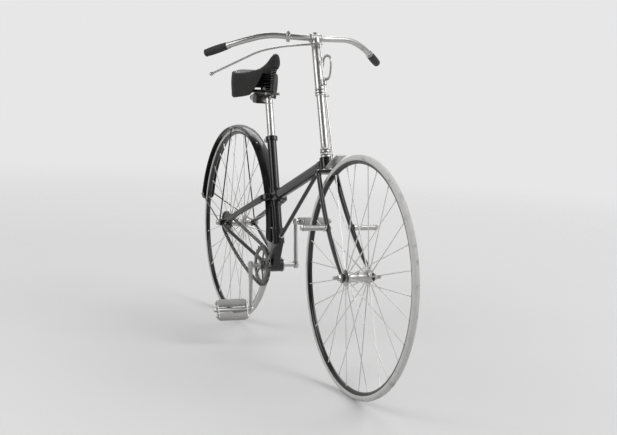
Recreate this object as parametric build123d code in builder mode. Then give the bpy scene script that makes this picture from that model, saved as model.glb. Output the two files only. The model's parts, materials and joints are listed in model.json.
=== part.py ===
from build123d import *
import math
import os

os.makedirs("parts", exist_ok=True)

# Cross-frame safety bicycle of about 1888, in millimetres.
# +X is forward, +Y is the rider's left and +Z is up. The origin is the seat point on top of the
# saddle. Places are written as ahead of the rear axle and up from the ground, and moved by place().

# Stance
seat_ahead = 170.0
seat_up = 985.0
wheelbase = 1088.0
wheel_radius = 381.0
running_gap = 0.05
seat_gap = 0.3

# Wheels
tyre_thickness = 22.0
rim_wall = 7.0
rim_width = 22.0
rim_rounding = 2.5
spoke_count = 30
spoke_diameter = 2.6
spoke_first_angle = 3.0
spoke_end_half = 3.0
hub_barrel_diameter = 30.0
hub_end_diameter = 24.0
hub_flange_diameter = 48.0
hub_flange_thickness = 4.0
axle_diameter = 12.0
nut_diameter = 22.0
nut_length = 11.0
fork_end_thickness = 6.0
fork_end_diameter = 30.0
front_flange_half = 38.0
front_hub_half = 45.0
front_fork_end_inside = 49.0
front_axle_half = 82.0
rear_flange_half = 30.0
rear_hub_half = 56.0
rear_fork_end_inside = 60.0
rear_axle_half = 90.0

# Steering head
head_angle = 20.0
neck_behind_axle = 277.0
neck_up = 706.0
neck_height = 38.0
neck_diameter = 42.0
column_diameter = 26.0
column_bore = 20.0
column_top = 250.0
ring_count = 4
ring_height = 6.5
ring_step = 8.6
ring_diameter = 34.0
collar_count = 2
collar_step = 9.5
collar_diameter = 34.0
stem_length = 165.0
stem_diameter = 30.0
bar_above_stem = 16.0
crown_neck_gap = 1.0
crown_boss_height = 5.0
crown_boss_diameter = 38.0
crown_arm_height = 10.0
crown_arm_width = 24.0
crown_half_gap = 31.0

# Fork blades, as part of the way down, width and thickness
fork_blade_sections = ((0.0, 24.0, 14.0), (0.35, 23.0, 13.0), (0.7, 20.0, 11.0), (1.0, 17.0, 6.0))
fork_blade_sagitta = 20.0
fork_blade_short_of_axle = 9.0
peg_part = 0.52
peg_blade_thickness = 13.0
peg_end = 137.0
peg_diameter = 18.0
peg_root_diameter = 23.0
peg_root_length = 9.0

# Handlebar, grips and brake
bar_diameter = 20.0
bar_lug_diameter = 29.0
bar_lug_length = 38.0
# Each bar point is back, out and up from the bar's middle.
bar_points = ((0, 42, 0), (46, 150, 4), (84, 226, -20), (172, 324, -69))
bar_radii = (95, 250, 400)
grip_length = 92.0
grip_cap = 5.0
grip_diameter = 28.0
rod_diameter = 9.0
rod_top = 398.0
rod_top_forward = 27.0
rod_foot_angle = 124.0
rod_foot_gap = 1.2
guide_height = 14.0
guide_diameter = 18.0
guide_arm_diameter = 11.0
# Each lever point is back, out to the right and up from the bar's middle.
lever_points = ((-38, 1, -17), (-22, 36, -22), (26, 96, -31), (66, 168, -50), (137, 315, -138))
lever_radii = (150, 250, 250)
lever_width = 13.0
lever_depth = 7.0
lever_clip_out = 90.0
lever_clip_length = 14.0
lever_clip_diameter = 28.0
lever_clip_above = 1.3
spoon_width = 34.0
spoon_thickness = 4.0
spoon_rounding = 1.5
spoon_gap = 16.0
spoon_first_angle = 114.0
spoon_last_angle = 128.0
lamp_ring_height = 86.0
lamp_ring_width = 72.0
lamp_ring_wall = 8.0
lamp_ring_rounding = 28.0
lamp_ring_thickness = 5.0
lamp_ring_left = 9.0
lamp_ring_up = 316.0

# Cross frame
backbone_diameter = 38.0
backbone_bore = 34.0
seat_tube_diameter = 34.0
seat_tube_foot_ahead = 440.0
seat_tube_foot_up = 385.0
seat_tube_angle = 18.6
seat_tube_above_cross = 226.0
lug_wall = 3.0
lug_step = 2.0
guard_boss_diameter = 12.0
cross_lug_length = 66.0
lug_socket_length = 50.0
rear_blade_height = 26.0
rear_blade_thickness = 14.0
rear_blade_end_height = 17.0
rear_blade_short_of_axle = 11.0
rear_crown_half_width = 46.0
rear_crown_bend = 26.0
rear_crown_length = 44.0
front_stay_diameter = 14.0
front_stay_short_of_neck = 39.0
lower_stay_diameter = 14.0
lower_stay_front_half = 25.0
lower_stay_flat = 42.0
lower_stay_taper = 45.0
bracket_ahead = 402.0
bracket_up = 287.0
bracket_half_width = 33.0
bracket_diameter = 50.0
bracket_web = 26.0
bracket_web_inset = 8.0
bracket_web_drop = 16.0
bracket_web_rise = 6.0
bracket_socket_length = 44.0
bracket_socket_foot = 12.0

# Seat pillar and saddle
pillar_diameter = 28.0
pillar_show = 140.0
pillar_in_tube = 90.0
pillar_arm_diameter = 22.0
pillar_arm_length = 165.0
clamp_height = 15.0
clamp_wall = 5.0
clamp_ear = 20.0
clamp_slit = 3.0
clip_ahead = 197.0
clip_length = 36.0
clip_side = 7.0
clip_foot_wall = 6.0
clip_cap = 5.0
clip_bolt_diameter = 10.0
clip_bolt_show = 6.0
rail_diameter = 9.0
rail_half_gap = 21.0
rail_end = 4.0
rail_up = 908.0
rail_front_ahead = 303.0
rail_rear_ahead = 102.0
rear_spring_half_gap = 62.0
rear_spring_diameter = 36.0
front_spring_diameter = 20.0
# Each saddle outline point is ahead and out.
saddle_plan = ((322, 22), (228, 36), (126, 94), (72, 84))
saddle_plan_radii = (16, 60, 40, 26)
saddle_rear = (72.0, 992.0)
saddle_nose = (322.0, 1058.0)
# Each point of the skirts' lower edge is ahead and up, from the nose to the rear.
saddle_edge = ((322, 1003), (266, 990), (238, 950), (206, 896), (126, 884), (92, 884), (72, 907))
saddle_wall = 5.0
saddle_steps = 5
saddle_spare = 20.0

# Drive
crank_length = 159.0
crank_forward_angle = 9.0
crank_axle_diameter = 17.0
crank_outside = 96.0
crank_thickness = 13.0
crank_boss_diameter = 30.0
crank_end_diameter = 24.0
crank_root_width = 20.0
crank_tip_width = 15.0
crank_side_step = 1.0
chain_pitch = 25.4
chainwheel_teeth = 18
sprocket_teeth = 10
chain_line = 46.0
tooth_thickness = 5.0
tooth_width = 9.0
tooth_side_angle = 68.0
tooth_above_pitch = 3.0
root_below_pitch = 5.0
wheel_rim_depth = 14.0
wheel_arm_count = 5
wheel_arm_width = 12.0
wheel_boss_diameter = 38.0
wheel_boss_step = 2.0
chain_plate_height = 10.0
chain_plate_thickness = 2.0
chain_half_gap = 3.4
chain_block_length = 15.0
chain_block_height = 8.0
chain_blocks_left_out = 2
chain_sag_radius = 1300.0
spindle_diameter = 11.0
spindle_collar_diameter = 17.0
spindle_collar_gap = 1.0
spindle_end_show = 2.0
pedal_inside = 105.0
pedal_end = 233.0
pedal_tube_diameter = 15.0
pedal_plate_thickness = 3.5
pedal_plate_height = 22.0
pedal_rubber_length = 106.0
pedal_rubber_diameter = 28.0
pedal_rubber_half_gap = 25.5
right_pedal_tilt = 62.0
left_pedal_tilt = -8.0

# Rear mudguard
guard_gap = 7.0
guard_thickness = 1.6
guard_half_width = 27.0
guard_drop = 8.0
guard_first_angle = -2.0
guard_last_angle = 174.0
guard_stay_diameter = 5.0
guard_stay_angles = (97.0, 170.0)
guard_eye_thickness = 5.4
guard_eye_diameter = 22.0
lower_stay_eye_thickness = 4.0
lower_stay_eye_diameter = 26.0
eye_step = 0.3

# What follows from the sizes above
neck_ahead = wheelbase - neck_behind_axle
rear_axle = (0.0, wheel_radius)
front_axle_at = (wheelbase, wheel_radius)
bracket = (bracket_ahead, bracket_up)
head_slope = math.radians(head_angle)
tube_slope = math.radians(seat_tube_angle)
guard_radius = wheel_radius + guard_gap
tyre_ring_radius = wheel_radius - tyre_thickness / 2
rim_inner_radius = wheel_radius - tyre_thickness - rim_wall
frame_slope = (neck_up - wheel_radius) / neck_ahead


def place(ahead, left, up):
    """A point given from the ground under the rear axle, in the bicycle's own axes."""
    return Vector(ahead - seat_ahead, left, up - seat_up)


def along_head(distance, forward=0.0):
    """A point up the steering axis from the neck's middle, and forward of that axis."""
    ahead = neck_ahead - distance * math.sin(head_slope) + forward * math.cos(head_slope)
    up = neck_up + distance * math.cos(head_slope) + forward * math.sin(head_slope)
    return place(ahead, 0, up)


def head_plane(distance):
    """A plane square to the steering axis, its x forward."""
    forward = (math.cos(head_slope), 0, math.sin(head_slope))
    return Plane(origin=along_head(distance), x_dir=forward, z_dir=(-forward[2], 0, forward[0]))


def tube_at(distance):
    """Ahead and up of a point on the seat tube, at a distance from its foot."""
    ahead = seat_tube_foot_ahead - distance * math.sin(tube_slope)
    up = seat_tube_foot_up + distance * math.cos(tube_slope)
    return ahead, up


def tube_plane(distance):
    """A plane square to the seat tube, its x forward."""
    ahead, up = tube_at(distance)
    forward = (math.cos(tube_slope), 0, math.sin(tube_slope))
    return Plane(origin=place(ahead, 0, up), x_dir=forward, z_dir=(-forward[2], 0, forward[0]))


def side_plane(centre, left):
    """An upright plane along the bicycle, with x forward, y up and its normal to the right."""
    return Plane(origin=place(centre[0], left, centre[1]), x_dir=(1, 0, 0), z_dir=(0, -1, 0))


def run_plane(start, direction, hint):
    """A plane at a point, square to a direction, with x as near to the hint as it can be."""
    along = Vector(direction).normalized()
    across = Vector(hint) - along * Vector(hint).dot(along)
    return Plane(origin=start, x_dir=across, z_dir=along)


def rod(start, end, diameter, mode=Mode.ADD):
    """A round bar between two points."""
    with BuildSketch(run_plane(start, end - start, (0.3, 1, 0.2))) as section:
        Circle(diameter / 2)
    extrude(section.sketch, amount=(end - start).length, mode=mode)


def tube_along(plane, length, outside, inside):
    """A tube on a plane."""
    with BuildSketch(plane) as section:
        Circle(outside / 2)
        Circle(inside / 2, mode=Mode.SUBTRACT)
    extrude(section.sketch, amount=length)


def disc(centre, first_left, last_left, diameter, mode=Mode.ADD):
    """A round piece along the wheels' axis, from one side distance to another."""
    with BuildSketch(side_plane(centre, last_left)) as section:
        Circle(diameter / 2)
    extrude(section.sketch, amount=last_left - first_left, mode=mode)


def bore(centre, half_length, diameter):
    """A running bore along the wheels' axis, through both sides of a piece."""
    disc(centre, -half_length - 1, half_length + 1, diameter + 2 * running_gap, mode=Mode.SUBTRACT)


def band(side, near, far):
    """The side distances of a piece on one side, the one further right first."""
    return min(side * near, side * far), max(side * near, side * far)


def around(centre, radius, angle, left=0.0):
    """A point on a circle about a wheel or bracket axis, its angle from forward towards up."""
    turn = math.radians(angle)
    return place(centre[0] + radius * math.cos(turn), left, centre[1] + radius * math.sin(turn))


def keep(piece, name):
    piece.part.label = name
    export_step(piece.part, "parts/" + name + ".step")
    print(name, len(piece.part.solids()), round(piece.part.volume))


# The backbone line runs straight from the rear axle to the neck and crosses the seat tube.
cross_height = wheel_radius + frame_slope * seat_tube_foot_ahead - seat_tube_foot_up
cross_distance = cross_height / (math.cos(tube_slope) + frame_slope * math.sin(tube_slope))
cross = tube_at(cross_distance)
cross_point = place(cross[0], 0, cross[1])
neck_point = along_head(0)
frame_run = (neck_point - cross_point).normalized()
tube_top_distance = cross_distance + seat_tube_above_cross
cross_lug_diameter = seat_tube_diameter + 2 * lug_wall
socket_diameter = backbone_diameter + 2 * lug_wall
backbone_start = cross_lug_diameter / 2 + lug_step

# Frame tubes and lugs
with BuildPart() as seat_tube:
    tube_bore = pillar_diameter + 2 * running_gap
    tube_along(tube_plane(0), tube_top_distance, seat_tube_diameter, tube_bore)
keep(seat_tube, "seat_tube")

with BuildPart() as backbone:
    rod(cross_point + frame_run * backbone_start, neck_point, backbone_diameter)
    rod(cross_point, neck_point, backbone_bore, mode=Mode.SUBTRACT)
    with BuildSketch(head_plane(-neck_height)):
        Circle(neck_diameter / 2 + running_gap)
    extrude(amount=2 * neck_height, mode=Mode.SUBTRACT)
keep(backbone, "backbone")

with BuildPart() as head_lug:
    neck_bore = column_diameter + 2 * running_gap
    tube_along(head_plane(-neck_height / 2), neck_height, neck_diameter, neck_bore)
keep(head_lug, "head_lug")

crown_end = cross_point - frame_run * rear_crown_length
guard_outside = guard_radius + guard_thickness
with BuildPart() as cross_lug:
    crown_side = Vector(0, rear_crown_half_width, 0)
    with BuildLine() as crown_path:
        FilletPolyline(
            crown_end - crown_side,
            cross_point - crown_side,
            cross_point + crown_side,
            crown_end + crown_side,
            radius=rear_crown_bend,
        )
    with BuildSketch(run_plane(crown_end - crown_side, frame_run, (0, 1, 0))):
        SlotOverall(rear_blade_height, rear_blade_thickness, rotation=90)
    sweep(path=crown_path.line)
    with BuildSketch(tube_plane(cross_distance - cross_lug_length / 2)):
        Circle(cross_lug_diameter / 2)
    extrude(amount=cross_lug_length)
    rod(cross_point, cross_point + frame_run * lug_socket_length, socket_diameter)
    guard_reach = math.hypot(cross[0], cross[1] - wheel_radius) - guard_outside - seat_gap
    rod(cross_point, cross_point - frame_run * guard_reach, guard_boss_diameter)
    rod(
        cross_point + frame_run * backbone_start,
        cross_point + frame_run * 2 * lug_socket_length,
        backbone_diameter + 2 * running_gap,
        mode=Mode.SUBTRACT,
    )
    with BuildSketch(tube_plane(cross_distance - cross_lug_length)):
        Circle(seat_tube_diameter / 2 + running_gap)
    extrude(amount=2 * cross_lug_length, mode=Mode.SUBTRACT)
keep(cross_lug, "cross_lug")

for side, name in ((-1, "right"), (1, "left")):
    outside = rear_fork_end_inside + fork_end_thickness
    first, last = band(side, rear_fork_end_inside, outside)
    start = crown_end + Vector(0, side * rear_crown_half_width, 0)
    finish = place(0, (first + last) / 2, wheel_radius)
    blade_run = finish - start
    with BuildPart() as rear_blade:
        with BuildSketch(run_plane(start - frame_run * seat_gap, -frame_run, (0, 1, 0))):
            SlotOverall(rear_blade_height, rear_blade_thickness, rotation=90)
        near_end = finish - blade_run.normalized() * rear_blade_short_of_axle
        with BuildSketch(run_plane(near_end, blade_run, (0, 1, 0))):
            SlotOverall(rear_blade_end_height, fork_end_thickness, rotation=90)
        loft()
        disc(rear_axle, first, last, fork_end_diameter)
        bore(rear_axle, outside, axle_diameter)
    keep(rear_blade, "rear_fork_" + name)

stay_foot = place(seat_tube_foot_ahead, 0, seat_tube_foot_up)
stay_top_ahead = neck_ahead - front_stay_short_of_neck
stay_top = place(stay_top_ahead, 0, wheel_radius + frame_slope * stay_top_ahead)
socket_outside = cross_lug_diameter + lug_step
with BuildPart() as bottom_bracket:
    disc(bracket, -bracket_half_width, bracket_half_width, bracket_diameter)
    foot_plane = tube_plane(-bracket_socket_foot)
    with BuildSketch(foot_plane):
        Circle(socket_outside / 2)
    extrude(amount=bracket_socket_length + bracket_socket_foot)
    web_rear = tube_at(bracket_socket_length - bracket_web_drop)
    web_front = tube_at(-bracket_socket_foot)
    web_half = socket_outside / 2 - bracket_web_inset
    with BuildSketch(side_plane((0, 0), bracket_web / 2)):
        with BuildLine():
            Polyline(
                (bracket[0] - bracket_web_inset, bracket[1] + bracket_diameter / 2 - lug_wall),
                (web_rear[0] - web_half, web_rear[1]),
                (web_front[0] + web_half, web_front[1] + bracket_web_rise),
                (bracket[0] + bracket_diameter / 2 - 1, bracket[1] - bracket_web_rise),
                close=True,
            )
        make_face()
    extrude(amount=bracket_web)
    with BuildSketch(tube_plane(0)):
        Circle(seat_tube_diameter / 2 + running_gap)
    extrude(amount=2 * bracket_socket_length, mode=Mode.SUBTRACT)
    bore(bracket, bracket_half_width, crank_axle_diameter)
keep(bottom_bracket, "bottom_bracket")

with BuildPart() as front_stay:
    rod(stay_foot, stay_top, front_stay_diameter)
    rod(cross_point, neck_point, backbone_diameter + 2 * seat_gap, mode=Mode.SUBTRACT)
    with BuildSketch(tube_plane(-2 * bracket_socket_length)):
        Circle(socket_outside / 2 + seat_gap)
    extrude(amount=4 * bracket_socket_length, mode=Mode.SUBTRACT)
keep(front_stay, "front_stay")

stay_eye_inside = rear_fork_end_inside + fork_end_thickness + eye_step
stay_eye_outside = stay_eye_inside + lower_stay_eye_thickness
with BuildPart() as lower_stays:
    for side in (-1, 1):
        first, last = band(side, stay_eye_inside, stay_eye_outside)
        eye_point = place(0, (first + last) / 2, wheel_radius)
        front_point = place(bracket[0], side * lower_stay_front_half, bracket[1])
        flat_run = Vector(front_point.X - eye_point.X, 0, front_point.Z - eye_point.Z).normalized()
        flat_end = eye_point + flat_run * lower_stay_flat
        round_run = (front_point - flat_end).normalized()
        round_start = flat_end + round_run * lower_stay_taper
        with BuildSketch(run_plane(eye_point + flat_run * axle_diameter, flat_run, (0, 1, 0))):
            Rectangle(lower_stay_eye_thickness, lower_stay_diameter)
        extrude(amount=lower_stay_flat - axle_diameter)
        with BuildSketch(run_plane(flat_end, flat_run, (0, 1, 0))):
            Ellipse(lower_stay_eye_thickness / 2, lower_stay_diameter / 2)
        with BuildSketch(run_plane(round_start, round_run, (0, 1, 0))):
            Circle(lower_stay_diameter / 2)
        loft()
        rod(round_start, front_point, lower_stay_diameter)
        disc(rear_axle, first, last, lower_stay_eye_diameter)
    bore(rear_axle, stay_eye_outside, axle_diameter)
    bore(bracket, lower_stay_front_half + lower_stay_diameter, bracket_diameter + 2 * seat_gap)
keep(lower_stays, "lower_stays")

# Seat pillar, its clamp and what carries the saddle
pillar_top = tube_at(tube_top_distance + pillar_show)
with BuildPart() as seat_pillar:
    with BuildSketch(tube_plane(tube_top_distance - pillar_in_tube)):
        Circle(pillar_diameter / 2)
    extrude(amount=pillar_in_tube + pillar_show)
    top_point = place(pillar_top[0], 0, pillar_top[1])
    with Locations(top_point):
        Sphere(pillar_diameter / 2)
    rod(top_point, top_point - Vector(pillar_arm_length, 0, 0), pillar_arm_diameter)
keep(seat_pillar, "seat_pillar")

with BuildPart() as seat_clamp:
    clamp_outside = seat_tube_diameter + 2 * clamp_wall
    clamp_plane = tube_plane(tube_top_distance - clamp_height)
    with BuildSketch(clamp_plane):
        Circle(clamp_outside / 2)
        with Locations((-clamp_outside / 2 - clamp_ear / 5, 0)):
            RectangleRounded(clamp_ear, clamp_ear, 3)
    extrude(amount=clamp_height)
    with BuildSketch(clamp_plane):
        Circle(seat_tube_diameter / 2 + running_gap)
        with Locations((-clamp_outside / 2 - clamp_ear / 3, 0)):
            Rectangle(1.2 * clamp_ear, clamp_slit)
    extrude(amount=clamp_height, mode=Mode.SUBTRACT)
keep(seat_clamp, "seat_clamp")

arm_up = pillar_top[1]
with BuildPart() as saddle_clip:
    clip_top = rail_up - rail_diameter / 2 - seat_gap
    clip_foot = arm_up - pillar_arm_diameter / 2 - clip_foot_wall
    clip_width = 2 * (rail_half_gap + clip_side)
    with Locations(place(clip_ahead, 0, (clip_top + clip_foot) / 2)):
        Box(clip_length, clip_width, clip_top - clip_foot)
    fillet(saddle_clip.edges().filter_by(Axis.X), clip_cap)
    cap_foot = rail_up + rail_diameter / 2 + seat_gap
    with Locations(place(clip_ahead, 0, cap_foot + clip_cap / 2)):
        Box(clip_length, clip_width, clip_cap)
    bolt_top = cap_foot + clip_cap + clip_bolt_show
    rod(place(clip_ahead, 0, clip_top - 1), place(clip_ahead, 0, bolt_top), clip_bolt_diameter)
    arm_bore = pillar_arm_diameter + 2 * running_gap
    arm_start = place(clip_ahead - clip_length, 0, arm_up)
    rod(arm_start, place(clip_ahead + clip_length, 0, arm_up), arm_bore, mode=Mode.SUBTRACT)
keep(saddle_clip, "saddle_clip")

with BuildPart() as saddle_rails:
    for side in (-1, 1):
        rod(
            place(rail_rear_ahead, side * rail_half_gap, rail_up),
            place(rail_front_ahead, side * rail_half_gap, rail_up),
            rail_diameter,
        )
    for ahead, half_width in (
        (rail_front_ahead, rail_half_gap + rail_end),
        (rail_rear_ahead, rear_spring_half_gap + rear_spring_diameter / 2 - rail_end),
    ):
        rod(place(ahead, -half_width, rail_up), place(ahead, half_width, rail_up), rail_diameter)
keep(saddle_rails, "saddle_rails")


def saddle_top(ahead):
    """Height of the saddle's top at a distance ahead, on a curve through its rear, dip and nose."""
    (x1, z1), (x2, z2), (x3, z3) = saddle_rear, (seat_ahead, seat_up), saddle_nose
    bend = ((z3 - z1) / (x3 - x1) - (z2 - z1) / (x2 - x1)) / (x3 - x2)
    return z1 + (z2 - z1) * (ahead - x1) / (x2 - x1) + bend * (ahead - x1) * (ahead - x2)


def saddle_form(inset):
    """The saddle's shape, smaller by an inset, and open below where there is one."""
    with BuildSketch(Plane(origin=place(0, 0, saddle_floor))) as plan:
        with BuildLine():
            right = [(ahead, -out) for ahead, out in saddle_plan]
            left = [(ahead, out) for ahead, out in reversed(saddle_plan)]
            radii = list(saddle_plan_radii) + list(reversed(saddle_plan_radii))
            FilletPolyline(*right, *left, radius=radii, close=True)
        make_face()
        if inset > 0:
            offset(amount=-inset)
    extrude(plan.sketch, amount=saddle_height)
    first = saddle_rear[0] - 1
    last = saddle_nose[0] + 1
    steps = [first + (last - first) * number / saddle_steps for number in range(saddle_steps + 1)]
    top_line = [(ahead, saddle_top(ahead) - inset) for ahead in steps]
    if inset > 0:
        lower_line = [(last, saddle_floor), (first, saddle_floor)]
    else:
        lower_line = list(saddle_edge)
    with BuildSketch(side_plane((0, 0), saddle_side)) as profile:
        with BuildLine():
            Spline(*top_line)
            Polyline(top_line[-1], *lower_line, top_line[0])
        make_face()
    extrude(profile.sketch, amount=2 * saddle_side, mode=Mode.INTERSECT)


saddle_floor = min(up for ahead, up in saddle_edge) - saddle_spare
saddle_height = saddle_nose[1] - saddle_floor + saddle_spare
saddle_side = 2 * max(out for ahead, out in saddle_plan)
spring_foot = rail_up + rail_diameter / 2 + seat_gap
with BuildPart() as saddle_springs:
    for ahead, left, diameter in (
        (rail_rear_ahead, -rear_spring_half_gap, rear_spring_diameter),
        (rail_rear_ahead, rear_spring_half_gap, rear_spring_diameter),
        (rail_front_ahead, 0, front_spring_diameter),
    ):
        lowest = min(saddle_top(ahead - diameter / 2), saddle_top(ahead + diameter / 2))
        top = place(ahead, left, lowest - saddle_wall - seat_gap)
        rod(place(ahead, left, spring_foot), top, diameter)
keep(saddle_springs, "saddle_springs")

with BuildPart() as saddle_hollow:
    saddle_form(saddle_wall)

with BuildPart() as saddle:
    saddle_form(0)
    add(saddle_hollow.part, mode=Mode.SUBTRACT)
keep(saddle, "saddle")

# Rear mudguard and its stays
with BuildPart() as rear_mudguard:
    start_turn = math.radians(guard_first_angle)
    outward = (math.cos(start_turn), 0, math.sin(start_turn))
    section_plane = Plane(
        origin=place(0, 0, wheel_radius), x_dir=outward, z_dir=(-outward[2], 0, outward[0])
    )
    with BuildSketch(section_plane):
        with BuildLine():
            inner_edge = guard_radius - guard_drop
            outer_edge = inner_edge + guard_thickness
            ThreePointArc((inner_edge, -guard_half_width), (guard_radius, 0), (inner_edge, guard_half_width))
            Line((inner_edge, guard_half_width), (outer_edge, guard_half_width))
            ThreePointArc((outer_edge, guard_half_width), (guard_outside, 0), (outer_edge, -guard_half_width))
            Line((outer_edge, -guard_half_width), (inner_edge, -guard_half_width))
        make_face()
    guard_axis = Axis(origin=place(0, 0, wheel_radius), direction=(0, -1, 0))
    revolve(axis=guard_axis, revolution_arc=guard_last_angle - guard_first_angle)
keep(rear_mudguard, "rear_mudguard")

guard_eye_inside = stay_eye_outside + eye_step
guard_eye_outside = guard_eye_inside + guard_eye_thickness
with BuildPart() as mudguard_stays:
    for side in (-1, 1):
        first, last = band(side, guard_eye_inside, guard_eye_outside)
        disc(rear_axle, first, last, guard_eye_diameter)
        for angle in guard_stay_angles:
            start = around(rear_axle, (axle_diameter + guard_stay_diameter) / 2, angle, (first + last) / 2)
            top_radius = guard_radius - guard_drop - guard_stay_diameter / 2
            rod(start, around(rear_axle, top_radius, angle, side * guard_half_width), guard_stay_diameter)
    bore(rear_axle, guard_eye_outside, axle_diameter)
keep(mudguard_stays, "mudguard_stays")


# Wheels
def wheel_parts(name, centre, flange_half, hub_half):
    middle = place(centre[0], 0, centre[1])
    with BuildPart() as hub:
        disc(centre, -flange_half, flange_half, hub_barrel_diameter)
        disc(centre, -hub_half, hub_half, hub_end_diameter)
        half = hub_flange_thickness / 2
        disc(centre, -flange_half - half, -flange_half + half, hub_flange_diameter)
        disc(centre, flange_half - half, flange_half + half, hub_flange_diameter)
        bore(centre, hub_half, axle_diameter)
    keep(hub, name + "_hub")
    with BuildPart() as spokes:
        for number in range(spoke_count):
            angle = spoke_first_angle + number * 360 / spoke_count
            side = -1 if number % 2 == 0 else 1
            start = around(centre, hub_flange_diameter / 2 + seat_gap, angle, side * flange_half)
            end = around(centre, rim_inner_radius - seat_gap, angle, side * spoke_end_half)
            rod(start, end, spoke_diameter)
    keep(spokes, name + "_spokes")
    with BuildPart() as rim:
        with BuildSketch(Plane(origin=middle, x_dir=(1, 0, 0), z_dir=(0, 0, 1))):
            rim_top = tyre_ring_radius - 1
            with Locations(((rim_inner_radius + rim_top) / 2, 0)):
                RectangleRounded(rim_top - rim_inner_radius, rim_width, rim_rounding)
            with Locations((tyre_ring_radius, 0)):
                Circle(tyre_thickness / 2 + running_gap, mode=Mode.SUBTRACT)
        revolve(axis=Axis(origin=middle, direction=(0, 1, 0)))
    keep(rim, name + "_rim")
    with BuildPart() as tyre:
        with BuildSketch(Plane(origin=middle, x_dir=(1, 0, 0), z_dir=(0, 0, 1))):
            with Locations((tyre_ring_radius, 0)):
                Circle(tyre_thickness / 2)
        revolve(axis=Axis(origin=middle, direction=(0, 1, 0)))
    keep(tyre, name + "_tyre")


wheel_parts("front_wheel", front_axle_at, front_flange_half, front_hub_half)
wheel_parts("rear_wheel", rear_axle, rear_flange_half, rear_hub_half)


def axle_part(name, centre, half_length, nut_inside):
    with BuildPart() as axle:
        disc(centre, -half_length, half_length, axle_diameter)
        for side in (-1, 1):
            first, last = band(side, nut_inside, nut_inside + nut_length)
            with BuildSketch(side_plane(centre, last)):
                RegularPolygon(nut_diameter / 2, 6)
            extrude(amount=nut_length)
    keep(axle, name)


axle_part("front_axle", front_axle_at, front_axle_half, front_fork_end_inside + fork_end_thickness + eye_step)
axle_part("rear_axle", rear_axle, rear_axle_half, guard_eye_outside + eye_step)

# Steering column, rings, crown and stem
crown_top = -neck_height / 2 - crown_neck_gap
with BuildPart() as steering_column:
    tube_along(head_plane(crown_top), column_top - crown_top, column_diameter, column_bore)
keep(steering_column, "steering_column")

with BuildPart() as column_rings:
    ring_bore = column_diameter + 2 * running_gap
    for number in range(ring_count):
        ring_foot = neck_height / 2 + seat_gap + number * ring_step
        tube_along(head_plane(ring_foot), ring_height, ring_diameter, ring_bore)
    for number in range(collar_count):
        ring_foot = column_top - (number + 1) * collar_step
        tube_along(head_plane(ring_foot), ring_height, collar_diameter, ring_bore)
keep(column_rings, "column_rings")

arm_top = crown_top - crown_boss_height
with BuildPart() as fork_crown:
    with BuildSketch(head_plane(arm_top)):
        Circle(crown_boss_diameter / 2)
    extrude(amount=crown_boss_height)
    with BuildSketch(head_plane(arm_top - crown_arm_height)):
        SlotOverall(2 * crown_half_gap + crown_arm_width, crown_arm_width, rotation=90)
    extrude(amount=crown_arm_height)
keep(fork_crown, "fork_crown")

stem_foot = column_top + seat_gap
bar_middle_distance = stem_foot + stem_length + bar_above_stem
bar_middle = along_head(bar_middle_distance)
rod_top_point = along_head(rod_top, rod_top_forward)
spoon_outside = wheel_radius + spoon_gap + spoon_thickness
rod_foot_point = around(front_axle_at, spoon_outside + rod_foot_gap, rod_foot_angle)
rod_run = (rod_foot_point - rod_top_point).normalized()
guide_up = stem_foot + guide_height
head_run = (along_head(1) - along_head(0)).normalized()
guide_point = rod_top_point - rod_run * (rod_top - guide_up) / rod_run.dot(head_run)
with BuildPart() as handlebar_stem:
    with BuildSketch(head_plane(stem_foot)):
        Circle(stem_diameter / 2)
    extrude(amount=stem_length + bar_above_stem)
    rod(
        bar_middle - Vector(0, bar_lug_length / 2, 0),
        bar_middle + Vector(0, bar_lug_length / 2, 0),
        bar_lug_diameter,
    )
    rod(guide_point - rod_run * guide_height / 2, guide_point + rod_run * guide_height / 2, guide_diameter)
    rod(along_head(guide_up), guide_point, guide_arm_diameter)
    rod(rod_top_point, rod_foot_point, rod_diameter + 2 * running_gap, mode=Mode.SUBTRACT)
    bar_reach = Vector(0, bar_lug_length, 0)
    rod(bar_middle - bar_reach, bar_middle + bar_reach, bar_diameter + 2 * running_gap, mode=Mode.SUBTRACT)
keep(handlebar_stem, "handlebar_stem")


def bar_point(point, side):
    back, out, up = point
    return bar_middle + Vector(-back, side * out, up)


left_points = [bar_point(point, 1) for point in reversed(bar_points)]
right_points = [bar_point(point, -1) for point in bar_points]
with BuildPart() as handlebar:
    with BuildLine() as bar_path:
        radii = list(reversed(bar_radii)) + list(bar_radii)
        FilletPolyline(*left_points, *right_points, radius=radii)
    with BuildSketch(run_plane(left_points[0], left_points[1] - left_points[0], (0, 0, 1))):
        Circle(bar_diameter / 2)
    sweep(path=bar_path.line)
keep(handlebar, "handlebar")

for side, name in ((-1, "right"), (1, "left")):
    bar_end = bar_point(bar_points[-1], side)
    grip_run = (bar_point(bar_points[-2], side) - bar_end).normalized()
    with BuildPart() as grip:
        grip_end = bar_end - grip_run * (grip_cap + seat_gap)
        rod(grip_end, bar_end + grip_run * (grip_length - grip_cap), grip_diameter)
        bar_start = bar_end - grip_run * seat_gap
        grip_bore = bar_diameter + 2 * running_gap
        rod(bar_start, bar_end + grip_run * grip_length, grip_bore, mode=Mode.SUBTRACT)
    keep(grip, "grip_" + name)

# Brake
lever_path_points = [bar_point(point, -1) for point in lever_points]
with BuildPart() as brake_lever:
    with BuildLine() as lever_path:
        FilletPolyline(*lever_path_points, radius=list(lever_radii))
    lever_start = lever_path_points[0]
    with BuildSketch(run_plane(lever_start, lever_path_points[1] - lever_start, (1, 0, 0))):
        Ellipse(lever_width / 2, lever_depth / 2)
    sweep(path=lever_path.line)
keep(brake_lever, "brake_lever")

with BuildPart() as brake_rod:
    rod(rod_top_point, rod_foot_point, rod_diameter)
keep(brake_rod, "brake_rod")

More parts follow.
